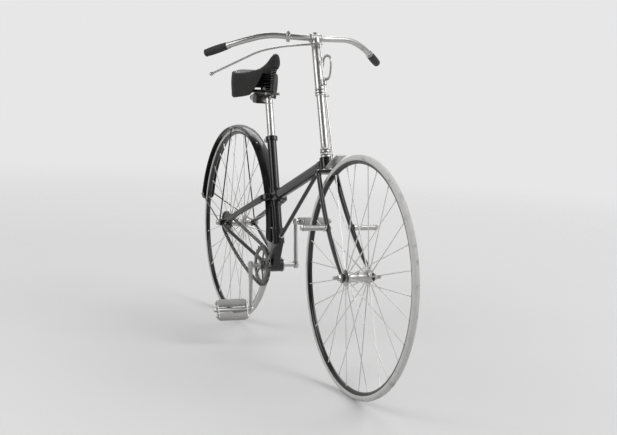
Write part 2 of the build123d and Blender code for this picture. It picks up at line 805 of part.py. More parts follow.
with BuildPart() as brake_spoon:
    start_turn = math.radians(spoon_first_angle)
    outward = (math.cos(start_turn), 0, math.sin(start_turn))
    section_plane = Plane(
        origin=place(wheelbase, 0, wheel_radius), x_dir=outward, z_dir=(-outward[2], 0, outward[0])
    )
    with BuildSketch(section_plane):
        with Locations((spoon_outside - spoon_thickness / 2, 0)):
            RectangleRounded(spoon_thickness, spoon_width, spoon_rounding)
    revolve(
        axis=Axis(origin=place(wheelbase, 0, wheel_radius), direction=(0, -1, 0)),
        revolution_arc=spoon_last_angle - spoon_first_angle,
    )
keep(brake_spoon, "brake_spoon")

# Fork blades, with the footrests on them
blade_top = along_head(arm_top - crown_arm_height / 2)
blade_foot = place(wheelbase, 0, wheel_radius)
chord = blade_foot - blade_top
chord_length = chord.length - fork_blade_short_of_axle
blade_bow = Vector(-chord.Z, 0, chord.X).normalized() * -1
arc_radius = chord_length ** 2 / (8 * fork_blade_sagitta) + fork_blade_sagitta / 2
blade_end_half = front_fork_end_inside + fork_end_thickness / 2


def blade_at(part, side):
    """A point on a fork blade's curved middle line, and the way that the line runs there."""
    half_turn = math.asin(chord_length / 2 / arc_radius)
    turn = (2 * part - 1) * half_turn
    straight = chord_length / 2 + arc_radius * math.sin(turn)
    bow = arc_radius * math.cos(turn) - arc_radius * math.cos(half_turn)
    out = crown_half_gap + (blade_end_half - crown_half_gap) * part
    point = blade_top + chord.normalized() * straight + blade_bow * bow + Vector(0, side * out, 0)
    along = chord.normalized() * math.cos(turn) - blade_bow * math.sin(turn)
    return point, along


for side, name in ((-1, "right"), (1, "left")):
    outside = front_fork_end_inside + fork_end_thickness
    first, last = band(side, front_fork_end_inside, outside)
    with BuildPart() as fork_blade:
        for part, width, thickness in fork_blade_sections:
            point, along = blade_at(part, side)
            with BuildSketch(run_plane(point, along, (0, 1, 0))):
                Ellipse(thickness / 2, width / 2)
        loft()
        with BuildSketch(head_plane(arm_top - crown_arm_height - seat_gap)):
            Rectangle(4 * crown_arm_width, 4 * crown_half_gap)
        extrude(amount=3 * crown_arm_height, mode=Mode.SUBTRACT)
        disc(front_axle_at, first, last, fork_end_diameter)
        bore(front_axle_at, outside, axle_diameter)
    keep(fork_blade, "fork_blade_" + name)

with BuildPart() as footrests:
    for side in (-1, 1):
        peg_root, along = blade_at(peg_part, side)
        start = peg_root + Vector(0, side * (peg_blade_thickness / 2 + seat_gap), 0)
        rod(start, Vector(start.X, side * peg_end, start.Z), peg_diameter)
        rod(start, start + Vector(0, side * peg_root_length, 0), peg_root_diameter)
keep(footrests, "footrests")

with BuildPart() as lamp_bracket:
    ring_middle = along_head(lamp_ring_up, lamp_ring_wall + lamp_ring_width / 2)
    ring_plane = Plane(
        origin=Vector(ring_middle.X, lamp_ring_left + lamp_ring_thickness, ring_middle.Z),
        x_dir=(1, 0, 0),
        z_dir=(0, -1, 0),
    )
    with BuildSketch(ring_plane):
        RectangleRounded(lamp_ring_width, lamp_ring_height, lamp_ring_rounding)
        offset(amount=-lamp_ring_wall, mode=Mode.SUBTRACT)
    extrude(amount=lamp_ring_thickness)
    with BuildSketch(head_plane(stem_foot)):
        Circle(stem_diameter / 2 + running_gap)
    extrude(amount=stem_length, mode=Mode.SUBTRACT)
keep(lamp_bracket, "lamp_bracket")

with BuildPart() as lever_clip:
    clip_share = (lever_clip_out - bar_points[0][1]) / (bar_points[1][1] - bar_points[0][1])
    bar_run = bar_point(bar_points[1], -1) - bar_point(bar_points[0], -1)
    clip_middle = bar_point(bar_points[0], -1) + bar_run * clip_share
    half = bar_run.normalized() * lever_clip_length / 2
    rod(clip_middle - half, clip_middle + half, lever_clip_diameter)
    clip_drop = lever_path_points[1].Z + lever_depth / 2 + lever_clip_above
    rod(clip_middle, Vector(clip_middle.X, clip_middle.Y, clip_drop), clip_bolt_diameter)
    rod(clip_middle - half * 4, clip_middle + half * 4, bar_diameter + 2 * running_gap, mode=Mode.SUBTRACT)
keep(lever_clip, "lever_clip")

# Drive
chainwheel_radius = chain_pitch / 2 / math.sin(math.pi / chainwheel_teeth)
sprocket_radius = chain_pitch / 2 / math.sin(math.pi / sprocket_teeth)


def toothed_wheel(centre, pitch_radius, teeth, inner):
    """A toothed ring with a boss at its middle, on the chain line."""
    root = pitch_radius - root_below_pitch
    half = tooth_thickness / 2
    with BuildSketch(side_plane(centre, -chain_line + half)) as section:
        Circle(root)
        tooth_height = tooth_above_pitch + root_below_pitch
        with PolarLocations(root + tooth_height / 2 - 1, teeth):
            Trapezoid(tooth_width, tooth_height + 2, tooth_side_angle, rotation=-90)
        if pitch_radius > 2 * wheel_rim_depth + wheel_boss_diameter / 2:
            inside = root - wheel_rim_depth
            Circle(inside, mode=Mode.SUBTRACT)
            with PolarLocations(inside / 2, wheel_arm_count):
                Rectangle(inside + 4, wheel_arm_width)
    extrude(section.sketch, amount=tooth_thickness)
    boss_half = half + wheel_boss_step
    disc(centre, -chain_line - boss_half, -chain_line + boss_half, wheel_boss_diameter)
    bore(centre, chain_line + tooth_thickness, inner)


with BuildPart() as chainwheel:
    toothed_wheel(bracket, chainwheel_radius, chainwheel_teeth, crank_axle_diameter)
keep(chainwheel, "chainwheel")

with BuildPart() as rear_sprocket:
    toothed_wheel(rear_axle, sprocket_radius, sprocket_teeth, hub_end_diameter)
keep(rear_sprocket, "rear_sprocket")

# The chain's loop is two pitch circles, a straight upper run and a sagging lower one.
drive_run = (bracket[0] - rear_axle[0], bracket[1] - rear_axle[1])
drive_length = math.hypot(*drive_run)
drive_angle = math.atan2(drive_run[1], drive_run[0])
upper_turn = drive_angle + math.pi / 2 - math.asin((chainwheel_radius - sprocket_radius) / drive_length)
reach_rear = chain_sag_radius - sprocket_radius
reach_front = chain_sag_radius - chainwheel_radius
corner = (reach_rear ** 2 + drive_length ** 2 - reach_front ** 2) / (2 * reach_rear * drive_length)
sag_turn = drive_angle + math.acos(corner)
sag_centre = (
    rear_axle[0] + reach_rear * math.cos(sag_turn),
    rear_axle[1] + reach_rear * math.sin(sag_turn),
)


def polar(centre, radius, turn):
    return centre[0] + radius * math.cos(turn), centre[1] + radius * math.sin(turn)


def turn_from(centre, point):
    return math.atan2(point[1] - centre[1], point[0] - centre[0])


rear_leave = turn_from(sag_centre, rear_axle)
front_leave = turn_from(sag_centre, bracket)
if rear_leave > 0:
    rear_leave = rear_leave - 2 * math.pi


def chain_loop(extra):
    """The chain's closed line, moved out by a distance."""
    small = sprocket_radius + extra
    large = chainwheel_radius + extra
    sag = chain_sag_radius + extra
    with BuildLine() as loop:
        Line(polar(rear_axle, small, upper_turn), polar(bracket, large, upper_turn))
        front_middle = (upper_turn + front_leave) / 2
        ThreePointArc(
            polar(bracket, large, upper_turn),
            polar(bracket, large, front_middle),
            polar(bracket, large, front_leave),
        )
        ThreePointArc(
            polar(bracket, large, front_leave),
            polar(sag_centre, sag, (front_leave + rear_leave) / 2),
            polar(rear_axle, small, rear_leave),
        )
        rear_middle = (upper_turn - 2 * math.pi + rear_leave) / 2
        ThreePointArc(
            polar(rear_axle, small, rear_leave),
            polar(rear_axle, small, rear_middle),
            polar(rear_axle, small, upper_turn),
        )
    make_face(loop.edges())


with BuildPart() as chain:
    for near in (chain_half_gap, -chain_half_gap - chain_plate_thickness):
        with BuildSketch(side_plane((0, 0), -chain_line + near + chain_plate_thickness)):
            chain_loop(chain_plate_height / 2)
        extrude(amount=chain_plate_thickness)
        with BuildSketch(side_plane((0, 0), -chain_line + near + chain_plate_thickness)):
            chain_loop(-chain_plate_height / 2)
        extrude(amount=chain_plate_thickness, mode=Mode.SUBTRACT)
    upper_length = math.sqrt(drive_length ** 2 - (chainwheel_radius - sprocket_radius) ** 2)
    upper_start = polar(rear_axle, sprocket_radius, upper_turn)
    upper_end = polar(bracket, chainwheel_radius, upper_turn)
    block_count = int(upper_length / chain_pitch) - 2 * chain_blocks_left_out + 1
    with BuildSketch(side_plane((0, 0), -chain_line + chain_half_gap)):
        for number in range(block_count):
            share = (number + chain_blocks_left_out) * chain_pitch / upper_length
            middle = (
                upper_start[0] + (upper_end[0] - upper_start[0]) * share,
                upper_start[1] + (upper_end[1] - upper_start[1]) * share,
            )
            with Locations(Location((middle[0], middle[1], 0), (0, 0, math.degrees(upper_turn) - 90))):
                Rectangle(chain_block_length, chain_block_height)
        for number in range(block_count):
            share = (number + chain_blocks_left_out) / (block_count + 2 * chain_blocks_left_out - 1)
            turn = rear_leave + (front_leave - rear_leave) * share
            middle = polar(sag_centre, chain_sag_radius, turn)
            with Locations(Location((middle[0], middle[1], 0), (0, 0, math.degrees(turn) + 90))):
                Rectangle(chain_block_length, chain_block_height)
    extrude(amount=2 * chain_half_gap)
keep(chain, "chain")

with BuildPart() as crank_axle:
    disc(bracket, -crank_outside, crank_outside, crank_axle_diameter)
keep(crank_axle, "crank_axle")

for side, name in ((-1, "right"), (1, "left")):
    turn = math.radians(-90 + crank_forward_angle) + (0 if side < 0 else math.pi)
    pedal_at = polar(bracket, crank_length, turn)
    inside = crank_outside - crank_thickness
    first, last = band(side, inside, crank_outside)
    across = (-math.sin(turn), math.cos(turn))
    with BuildPart() as crank:
        disc(bracket, first, last, crank_boss_diameter)
        disc(pedal_at, first, last, crank_end_diameter)
        with BuildSketch(side_plane((0, 0), last - crank_side_step)):
            corners = []
            for middle, half in (
                (bracket, crank_root_width / 2),
                (pedal_at, crank_tip_width / 2),
                (pedal_at, -crank_tip_width / 2),
                (bracket, -crank_root_width / 2),
            ):
                corners.append((middle[0] + across[0] * half, middle[1] + across[1] * half))
            with BuildLine():
                Polyline(*corners, close=True)
            make_face()
        extrude(amount=crank_thickness - 2 * crank_side_step)
        bore(bracket, crank_outside, crank_axle_diameter)
        bore(pedal_at, crank_outside, spindle_diameter)
    keep(crank, "crank_" + name)

    tube_end = pedal_inside + 2 * (pedal_plate_thickness + seat_gap) + pedal_rubber_length
    with BuildPart() as spindle:
        for near, far, diameter in (
            (inside, pedal_end, spindle_diameter),
            (crank_outside + seat_gap, pedal_inside - spindle_collar_gap, spindle_collar_diameter),
            (tube_end + spindle_collar_gap, pedal_end - spindle_end_show, spindle_collar_diameter),
        ):
            first, last = band(side, near, far)
            disc(pedal_at, first, last, diameter)
    keep(spindle, "pedal_spindle_" + name)

    pedal_tilt = right_pedal_tilt if side < 0 else left_pedal_tilt
    with BuildPart() as pedal_frame:
        first, last = band(side, pedal_inside, tube_end)
        disc(pedal_at, first, last, pedal_tube_diameter)
        for start in (pedal_inside, tube_end - pedal_plate_thickness):
            first, last = band(side, start, start + pedal_plate_thickness)
            with BuildSketch(side_plane(pedal_at, last)):
                SlotCenterToCenter(2 * pedal_rubber_half_gap, pedal_plate_height, rotation=-pedal_tilt)
            extrude(amount=pedal_plate_thickness)
        bore(pedal_at, pedal_end, spindle_diameter)
    keep(pedal_frame, "pedal_" + name)

    with BuildPart() as pedal_rubbers:
        start = pedal_inside + pedal_plate_thickness + seat_gap
        first, last = band(side, start, start + pedal_rubber_length)
        tilt = math.radians(pedal_tilt)
        for reach in (-pedal_rubber_half_gap, pedal_rubber_half_gap):
            middle = (pedal_at[0] + reach * math.cos(tilt), pedal_at[1] - reach * math.sin(tilt))
            disc(middle, first, last, pedal_rubber_diameter)
    keep(pedal_rubbers, "pedal_rubbers_" + name)
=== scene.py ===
import json
import math
import bmesh
import bpy
import numpy as np
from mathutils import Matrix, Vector


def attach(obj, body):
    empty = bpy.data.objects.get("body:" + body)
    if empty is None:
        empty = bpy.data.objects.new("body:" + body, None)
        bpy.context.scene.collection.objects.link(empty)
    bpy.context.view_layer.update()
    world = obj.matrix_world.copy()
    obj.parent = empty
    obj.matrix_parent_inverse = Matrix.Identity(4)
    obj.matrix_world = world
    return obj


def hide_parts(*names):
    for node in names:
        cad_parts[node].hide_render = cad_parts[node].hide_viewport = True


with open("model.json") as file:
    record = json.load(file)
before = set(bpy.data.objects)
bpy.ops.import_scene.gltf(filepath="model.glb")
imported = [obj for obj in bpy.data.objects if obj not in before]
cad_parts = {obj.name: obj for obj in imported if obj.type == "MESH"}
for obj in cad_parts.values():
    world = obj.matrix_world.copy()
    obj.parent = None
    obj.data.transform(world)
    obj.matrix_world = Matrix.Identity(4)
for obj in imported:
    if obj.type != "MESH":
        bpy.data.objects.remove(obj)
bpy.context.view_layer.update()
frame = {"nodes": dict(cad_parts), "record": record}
nodes = frame["nodes"]
print("frame loaded")

# Sizes are in millimetres in the frame's axes: x forward, y to the rider's left, z up, from the seat point.
stance = dict(seatAhead=170.0, seatUp=985.0, wheelbase=1088.0, wheelRadius=381.0, headAngle=20.0,
              neckAhead=811.0, neckUp=706.0)
leftward = np.array([0.0, 1.0, 0.0])
upward = np.array([0.0, 0.0, 1.0])
origin = np.zeros(3)


def place(ahead, left, up):
    # from the ground under the rear axle to the frame's own axes
    return np.array([ahead - stance["seatAhead"], left, up - stance["seatUp"]], float)


rearAxle = place(0, 0, stance["wheelRadius"])
frontAxle = place(stance["wheelbase"], 0, stance["wheelRadius"])


# Materials. A colour is written with its fourth value, as sockets want it.
def join(tree, value, socket):
    # a node's result is linked to the socket, a plain value is set on it
    if isinstance(value, Amount):
        value = value.socket
    if isinstance(value, bpy.types.NodeSocket):
        tree.links.new(value, socket)
    else:
        socket.default_value = value


class Amount:
    # a number on a node's socket; the usual signs add Math nodes
    def __init__(self, tree, socket):
        self.tree = tree
        self.socket = socket

    def math(self, kind, first, second=0.0, clamp=False):
        step = self.tree.nodes.new("ShaderNodeMath")
        step.operation = kind
        step.use_clamp = clamp
        join(self.tree, first, step.inputs[0])
        join(self.tree, second, step.inputs[1])
        return Amount(self.tree, step.outputs[0])

    def __add__(self, other):
        return self.math("ADD", self, other)

    __radd__ = __add__

    def __sub__(self, other):
        return self.math("SUBTRACT", self, other)

    def __rsub__(self, other):
        return self.math("SUBTRACT", other, self)

    def __mul__(self, other):
        return self.math("MULTIPLY", self, other)

    def __truediv__(self, other):
        return self.math("DIVIDE", self, other)

    def __pow__(self, other):
        return self.math("POWER", self, other)

    def size(self):
        return self.math("ABSOLUTE", self)

    def clip(self):
        return self.math("ADD", self, clamp=True)

    def over(self, low, high):
        # 0 below low, 1 above high and a straight ramp between
        return ((self - low) / (high - low)).clip()


class Finish:
    # one material: add() makes any node, done() joins the results to the shader
    def __init__(self, name, constants=()):
        self.material = bpy.data.materials.new(name)
        self.material.use_nodes = True
        self.tree = self.material.node_tree
        self.shader = self.tree.nodes["Principled BSDF"]
        for key, value in dict(constants).items():
            self.shader.inputs[key].default_value = value
        self.where = self.add("ShaderNodeTexCoord").outputs["Object"]

    def add(self, kind, values=(), **settings):
        node = self.tree.nodes.new(kind)
        for key, value in settings.items():
            setattr(node, key, value)
        for key, value in dict(values).items():
            join(self.tree, value, node.inputs[key])
        return node

    def noise(self, scale, detail, rough=0.55, where=None, twist=0.0):
        values = {"Vector": where or self.where, "Scale": scale, "Detail": detail, "Roughness": rough,
                  "Distortion": twist}
        return Amount(self.tree, self.add("ShaderNodeTexNoise", values).outputs["Fac"])

    def cells(self, scale, kind="F1"):
        node = self.add("ShaderNodeTexVoronoi", {"Vector": self.where, "Scale": scale}, feature=kind)
        return Amount(self.tree, node.outputs["Distance"])

    def stretched(self, factors):
        # the object's coordinates, stretched by three factors
        return self.add("ShaderNodeMapping", {"Vector": self.where, "Scale": factors}).outputs["Vector"]

    def axes(self, source=None):
        parts = self.add("ShaderNodeSeparateXYZ", {"Vector": source or self.where})
        return [Amount(self.tree, socket) for socket in parts.outputs]

    def upward(self):
        # 1 on faces that look up, 0 on upright faces and less on those that look down
        return self.axes(self.add("ShaderNodeNewGeometry").outputs["Normal"])[2]

    def mix(self, share, first, second):
        # share 0 gives the first colour, share 1 the second
        node = self.add("ShaderNodeMix", data_type="RGBA")
        used = [socket for socket in node.inputs if socket.enabled]
        for socket, value in zip(used, (share, first, second)):
            join(self.tree, value, socket)
        return [socket for socket in node.outputs if socket.enabled][0]

    def done(self, colour, roughness, metallic=None, coat=None, height=None, depth=0.0, strength=0.0):
        wanted = {"Base Color": colour, "Roughness": roughness, "Metallic": metallic, "Coat Weight": coat}
        if height is not None:
            bump = self.add("ShaderNodeBump", {"Height": height, "Distance": depth, "Strength": strength})
            wanted["Normal"] = bump.outputs["Normal"]
        for key, value in wanted.items():
            if value is not None:
                join(self.tree, value, self.shader.inputs[key])
        return self.material


def grey(value, warmth=0.0):
    return (value * (1 + warmth), value, value * (1 - warmth), 1)


def makeBlackEnamel():
    # stove enamel: near black and glossy, with dust on top and small chips rubbed to grey
    finish = Finish("blackEnamel", {"Coat Roughness": 0.05, "Coat IOR": 1.6, "Specular IOR Level": 0.15})
    broad = finish.noise(9, 3)
    fine = finish.noise(160, 5)
    dust = (finish.upward().clip() ** 2) * finish.noise(34, 5).over(0.4, 0.8)
    chips = (finish.noise(95, 3, 0.7) * 0.7 + finish.noise(420, 2) * 0.3).over(0.685, 0.705)
    body = finish.mix(broad, grey(0.004, 0.02), grey(0.009, 0.03))
    dusty = finish.mix(dust * 0.03, body, grey(0.3, 0.04))
    colour = finish.mix(chips * 0.7, dusty, grey(0.13, 0.02))
    rough = 0.2 + broad * 0.12 + fine * 0.08 + dust * 0.16 + chips * 0.3
    height = broad * 0.6 + fine * 0.25 - chips * 0.5
    return finish.done(colour, rough, chips * 0.6, (1 - chips) * (0.6 - dust * 0.3), height, 0.0004, 0.35)


def makeNickelPlate(name, tone, dull, mark):
    # nickel plating: bright, with cloudy tarnish, fine wiping marks and small pits; mark is their strength
    finish = Finish(name)
    cloud = finish.noise(16, 5, 0.6)
    fine = finish.noise(240, 4)
    wipes = finish.noise(90, 4, 0.6, finish.stretched((0.12, 1, 1)))
    pits = 1 - finish.cells(520).over(0.0, 0.2)
    spots = cloud.over(0.6, 0.74) * mark
    bright = finish.mix(cloud, grey(tone, 0.006), grey(tone * 0.84, 0.012))
    stained = finish.mix(spots * 0.5, bright, grey(tone * 0.5, 0.03))
    colour = finish.mix(pits * (0.5 * mark), stained, grey(tone * 0.3, 0.04))
    rough = 0.24 + dull + cloud * 0.1 + wipes * 0.1 + spots * 0.15 + pits * (0.2 * mark)
    metal = 1 - pits * (0.3 * mark) - spots * 0.1
    height = fine * 0.2 + wipes * 0.2 - pits * 0.4
    return finish.done(colour, rough, metal, height=height, depth=0.0001, strength=0.25 * mark)


def makeTyreGrey():
    # solid rubber, pale with age: scuffed and dusty along the tread, fine crazing at the sides
    finish = Finish("tyreGrey", {"Specular IOR Level": 0.3})
    tread = 1 - finish.axes()[1].size().over(0.002, 0.0085)
    broad = finish.noise(14, 4)
    grit = finish.noise(360, 6, 0.65)
    crazing = 1 - finish.cells(300, "DISTANCE_TO_EDGE").over(0.0, 0.05)
    stains = finish.noise(30, 5, 0.6, twist=0.6).over(0.57, 0.74)
    base = finish.mix(broad, grey(0.5, 0.006), grey(0.4, 0.01))
    worn = finish.mix(tread * grit.over(0.3, 0.7) * 0.6, base, grey(0.6, 0.015))
    marked = finish.mix(stains * 0.6, worn, grey(0.13, 0.015))
    colour = finish.mix(crazing * 0.35, marked, grey(0.12, 0.01))
    height = grit * 0.7 - crazing * 0.3 + broad * 0.3
    return finish.done(colour, 0.62 + grit * 0.2 + tread * 0.1, height=height, depth=0.0006, strength=0.6)


def makeRubber(name, tone, gloss, grain):
    # moulded rubber: fine grain, rubbed paler where hands or soles touch it
    finish = Finish(name, {"Specular IOR Level": 0.35})
    broad = finish.noise(38, 4)
    fine = finish.noise(grain, 5, 0.6)
    rubbed = broad.over(0.5, 0.7) * fine.over(0.35, 0.7)
    base = finish.mix(broad, grey(tone, 0.01), grey(tone * 0.7, 0.015))
    colour = finish.mix(rubbed * 0.45, base, grey(min(0.6, tone * 1.9 + 0.02), 0.015))
    height = fine * 0.7 + broad * 0.4
    return finish.done(colour, 0.62 - gloss + fine * 0.18, height=height, depth=0.0005, strength=0.55)


def makeSaddleHide():
    # black saddle leather: pebbled grain, creases, and a paler sheen where it is sat on
    finish = Finish("saddleHide", {"Coat Roughness": 0.35, "Specular IOR Level": 0.4})
    grain = finish.cells(620, "SMOOTH_F1")
    pores = finish.noise(900, 3)
    creases = finish.noise(60, 5, 0.6, finish.stretched((2.2, 0.6, 1)), 0.4)
    broad = finish.noise(15, 4)
    worn = (finish.upward().clip() ** 3) * broad.over(0.35, 0.7)
    base = finish.mix(broad, grey(0.007, 0.03), grey(0.015, 0.04))
    rubbed = finish.mix(worn * 0.5, base, grey(0.042, 0.04))
    colour = finish.mix(creases.over(0.6, 0.74) * 0.3, rubbed, grey(0.075, 0.04))
    rough = 0.46 + grain * 0.2 + creases * 0.12 - worn * 0.1
    height = grain * 0.6 + pores * 0.2 + creases * 0.8
    return finish.done(colour, rough, None, worn * 0.15 + 0.06, height, 0.0008, 0.5)


def makeOiledSteel(name, tone, oil):
    # bare or blacked steel with oil film and a little rust in the hollows
    finish = Finish(name)
    fine = finish.noise(380, 5)
    film = finish.noise(46, 5, 0.6).over(0.42, 0.66) * oil
    rust = (finish.noise(120, 5, 0.7) * 0.6 + fine * 0.4).over(0.6, 0.7)
    base = finish.mix(fine, grey(tone, 0.01), grey(tone * 0.62, 0.02))
    oiled = finish.mix(film, base, grey(tone * 0.16, 0.03))
    colour = finish.mix(rust * 0.5, oiled, (0.070, 0.060, 0.053, 1))
    rough = 0.3 + fine * 0.2 + rust * 0.3 - film * 0.06
    metal = 1 - rust * 0.7 - film * 0.25
    return finish.done(colour, rough, metal, height=fine * 0.6 + rust * 0.6, depth=0.0004, strength=0.5)


finishes = dict(
    black_enamel=makeBlackEnamel(),
    nickel=makeNickelPlate("nickelPlate", tone=0.56, dull=0.0, mark=1.0),
    tyre_rubber=makeTyreGrey(),
    pedal_rubber=makeRubber("pedalGrey", tone=0.34, gloss=0.0, grain=420),
    grip_rubber=makeRubber("gripBlack", tone=0.022, gloss=0.14, grain=700),
    saddle_leather=makeSaddleHide(),
    spring_steel=makeOiledSteel("springBlack", tone=0.16, oil=0.5),
    chain_steel=makeOiledSteel("chainOiled", tone=0.20, oil=0.8),
)
spokeFinish = makeNickelPlate("spokeBright", tone=0.80, dull=0.06, mark=0.4)
for subpart in frame["record"]["subparts"]:
    holder = nodes[subpart["node"]].data.materials
    holder.clear()
    holder.append(finishes[subpart["material_slot"]])
print("materials made")


# Surfaces are grids of points in millimetres, rows along and columns round, until a piece is finished.
def unit(vectors):
    vectors = np.asarray(vectors, float)
    return vectors / np.linalg.norm(vectors, axis=-1, keepdims=True)


def along(first, last, count):
    return np.linspace(np.asarray(first, float), np.asarray(last, float), count)


def fullTurn(count):
    # equal angles once round
    return np.arange(count) * 2 * np.pi / count


def bent(wave, power):
    # a sine or cosine raised to a power without losing its sign
    return np.sign(wave) * np.abs(wave) ** power


def circled(centre, reach, turn, left=0.0):
    # points on circles about a wheel's axis, their angle from forward towards up
    ahead, up = centre[0] + reach * np.cos(turn), centre[2] + reach * np.sin(turn)
    return np.stack(np.broadcast_arrays(ahead, left, up), -1)


def outward(angle, reach=1.0):
    # the way out from a wheel's axis at an angle in degrees
    return circled(origin, reach, np.radians(angle))


def spinMatrices(angles):
    # turns about the wheels' axis, from forward towards up
    c, s = np.cos(angles), np.sin(angles)
    zero, one = np.zeros_like(c), np.ones_like(c)
    rows = ((c, zero, -s), (zero, one, zero), (s, zero, c))
    return np.stack([np.stack(row, -1) for row in rows], 1)


def carried(path, hint, across, deep, sides=16, power=2.0, loop=False):
    # a superellipse of the given half sizes carried along a line: |x/across|^power + |y/deep|^power = 1.
    # Its first axis stays square to the line and as near the hint as it can be.
    path = np.asarray(path, float)
    run = unit(np.roll(path, -1, 0) - np.roll(path, 1, 0) if loop else np.gradient(path, axis=0))
    hint = np.broadcast_to(np.asarray(hint, float), run.shape)
    side = unit(hint - run * np.sum(hint * run, axis=1, keepdims=True))
    other = np.cross(run, side)
    turn = fullTurn(sides)
    x, y = bent(np.cos(turn), 2 / power), bent(np.sin(turn), 2 / power)
    across = np.broadcast_to(across, len(path))[:, None, None]
    deep = np.broadcast_to(deep, len(path))[:, None, None]
    return path[:, None] + side[:, None] * across * x[:, None] + other[:, None] * deep * y[:, None]


def turned(start, direction, profile, sides=32, edge=None):
    # rows of (distance along, radius) turned about a line; edge gives a factor on the radius by angle
    distance, radius = np.asarray(profile, float).T
    run = unit(direction)
    hint = np.array([0.31, 0.12, 0.94])
    side = unit(hint - run * (hint @ run))
    turn = fullTurn(sides)
    ring = np.cos(turn)[:, None] * side + np.sin(turn)[:, None] * np.cross(run, side)
    reach = radius[:, None] * (np.ones(sides) if edge is None else edge(turn))
    return np.asarray(start, float) + distance[:, None, None] * run + reach[..., None] * ring


def hexEdge(turn):
    # a hexagon's edge: the cosine of 30 degrees over that of the angle from the flat's middle
    return np.cos(np.pi / 6) / np.cos(np.mod(turn, np.pi / 3) - np.pi / 6)


def knurled(turn):
    return 1 - 0.035 * np.abs(np.sin(turn * 22))


def rounded(length, radius, softness):
    # a round bar's profile with softened ends
    s = min(softness, length / 2, radius * 0.9)
    return [(0, radius - s), (0.3 * s, radius - 0.3 * s), (s, radius),
            (length - s, radius), (length - 0.3 * s, radius - 0.3 * s), (length, radius - s)]


def collared(height, bore, radius, slope, drop):
    # a ring's profile from its bore and back: its outer corners are cut by slope along and drop inwards
    return [(0, bore), (0, radius - drop), (slope, radius), (height - slope, radius), (height, radius - drop),
            (height, bore)]


def domed(radius, height, start):
    # a quarter ellipse from just inside its rim to near the top
    turn = np.linspace(0, np.pi / 2 * 0.96, 6)[1:]
    return [(start + height * np.sin(t), radius * np.cos(t)) for t in turn]


class Shape:
    # gathers surfaces and small fittings into one mesh
    def __init__(self):
        self.points = []
        self.faces = []
        self.count = 0

    def add(self, rows, loop=False, ends=True):
        rows = np.asarray(rows, float)
        tall, wide = rows.shape[:2]
        number = self.count + np.arange(tall * wide).reshape(tall, wide)
        near, far = (number, np.roll(number, -1, 0)) if loop else (number[:-1], number[1:])
        quads = np.stack([near, np.roll(near, -1, 1), np.roll(far, -1, 1), far], -1)
        self.faces += quads.reshape(-1, 4).tolist()
        if ends and not loop:
            self.faces += [number[0][::-1].tolist(), number[-1].tolist()]
        self.points.append(rows.reshape(-1, 3))
        self.count += tall * wide
        return self

    def copies(self, rows, turns, shifts):
        # the same closed surface many times: each copy is turned by a 3 by 3 matrix, then shifted
        for one in np.einsum("nij,rcj->nrci", turns, rows) + np.asarray(shifts)[:, None, None]:
            self.add(one)
        return self

    def turn(self, start, direction, profile, sides=32, edge=None):
        return self.add(turned(start, direction, profile, sides, edge))

    def nut(self, point, direction, radius, height, washer=True):
        # a six-sided nut with turned-down corners on a washer, its pin's domed end just proud
        foot = 0.0
        if washer:
            self.turn(point, direction, rounded(1.2, radius * 1.16, 0.4), 24)
            foot = 1.2
        body = height - foot
        self.turn(point, direction, [(foot, radius * 0.92), (foot + body * 0.12, radius),
                                     (foot + body * 0.84, radius), (foot + body, radius * 0.86)], 24, hexEdge)
        pin = radius * 0.5
        self.turn(point, direction, [(foot, pin), (height, pin)] + domed(pin, radius * 0.28, height), 16)

    def bead(self, point, direction, radius, width):
        # a half-round ring, its foot sunk by about a third of its width
        turn = np.linspace(0, np.pi, 7)
        sunk = width * 0.35
        profile = [(width / 2 - width / 2 * np.cos(t), radius - sunk + sunk * np.sin(t)) for t in turn]
        self.turn(np.asarray(point, float) - unit(direction) * width / 2, direction, profile, 40)

    def oiler(self, foot, direction, size=1.0):
        # a spring-lid oil cup
        profile = [(0, 3.4), (2.2, 3.4), (2.6, 2.5), (5.0, 2.5), (5.4, 3.6), (7.4, 3.7)]
        self.turn(foot, direction, np.array(profile + domed(3.4, 1.6, 7.6)) * size, 18)

    def made(self, name, body, slot, replaces=None, sharp=38.0, merge=0.0, finish=None):
        mesh = bpy.data.meshes.new(name)
        mesh.from_pydata((np.vstack(self.points) * 0.001).tolist(), [], self.faces)
        edit = bmesh.new()
        edit.from_mesh(mesh)
        if merge:
            bmesh.ops.remove_doubles(edit, verts=edit.verts, dist=merge)
        bmesh.ops.recalc_face_normals(edit, faces=edit.faces)
        edit.to_mesh(mesh)
        edit.free()
        mesh.polygons.foreach_set("use_smooth", np.ones(len(mesh.polygons), bool))
        mesh.set_sharp_from_angle(angle=math.radians(sharp))
        mesh.update()
        piece = bpy.data.objects.new(name, mesh)
        bpy.context.scene.collection.objects.link(piece)
        mesh.materials.append(finish or finishes[slot])
        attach(piece, body)
        if replaces:
            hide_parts(replaces)
        return piece


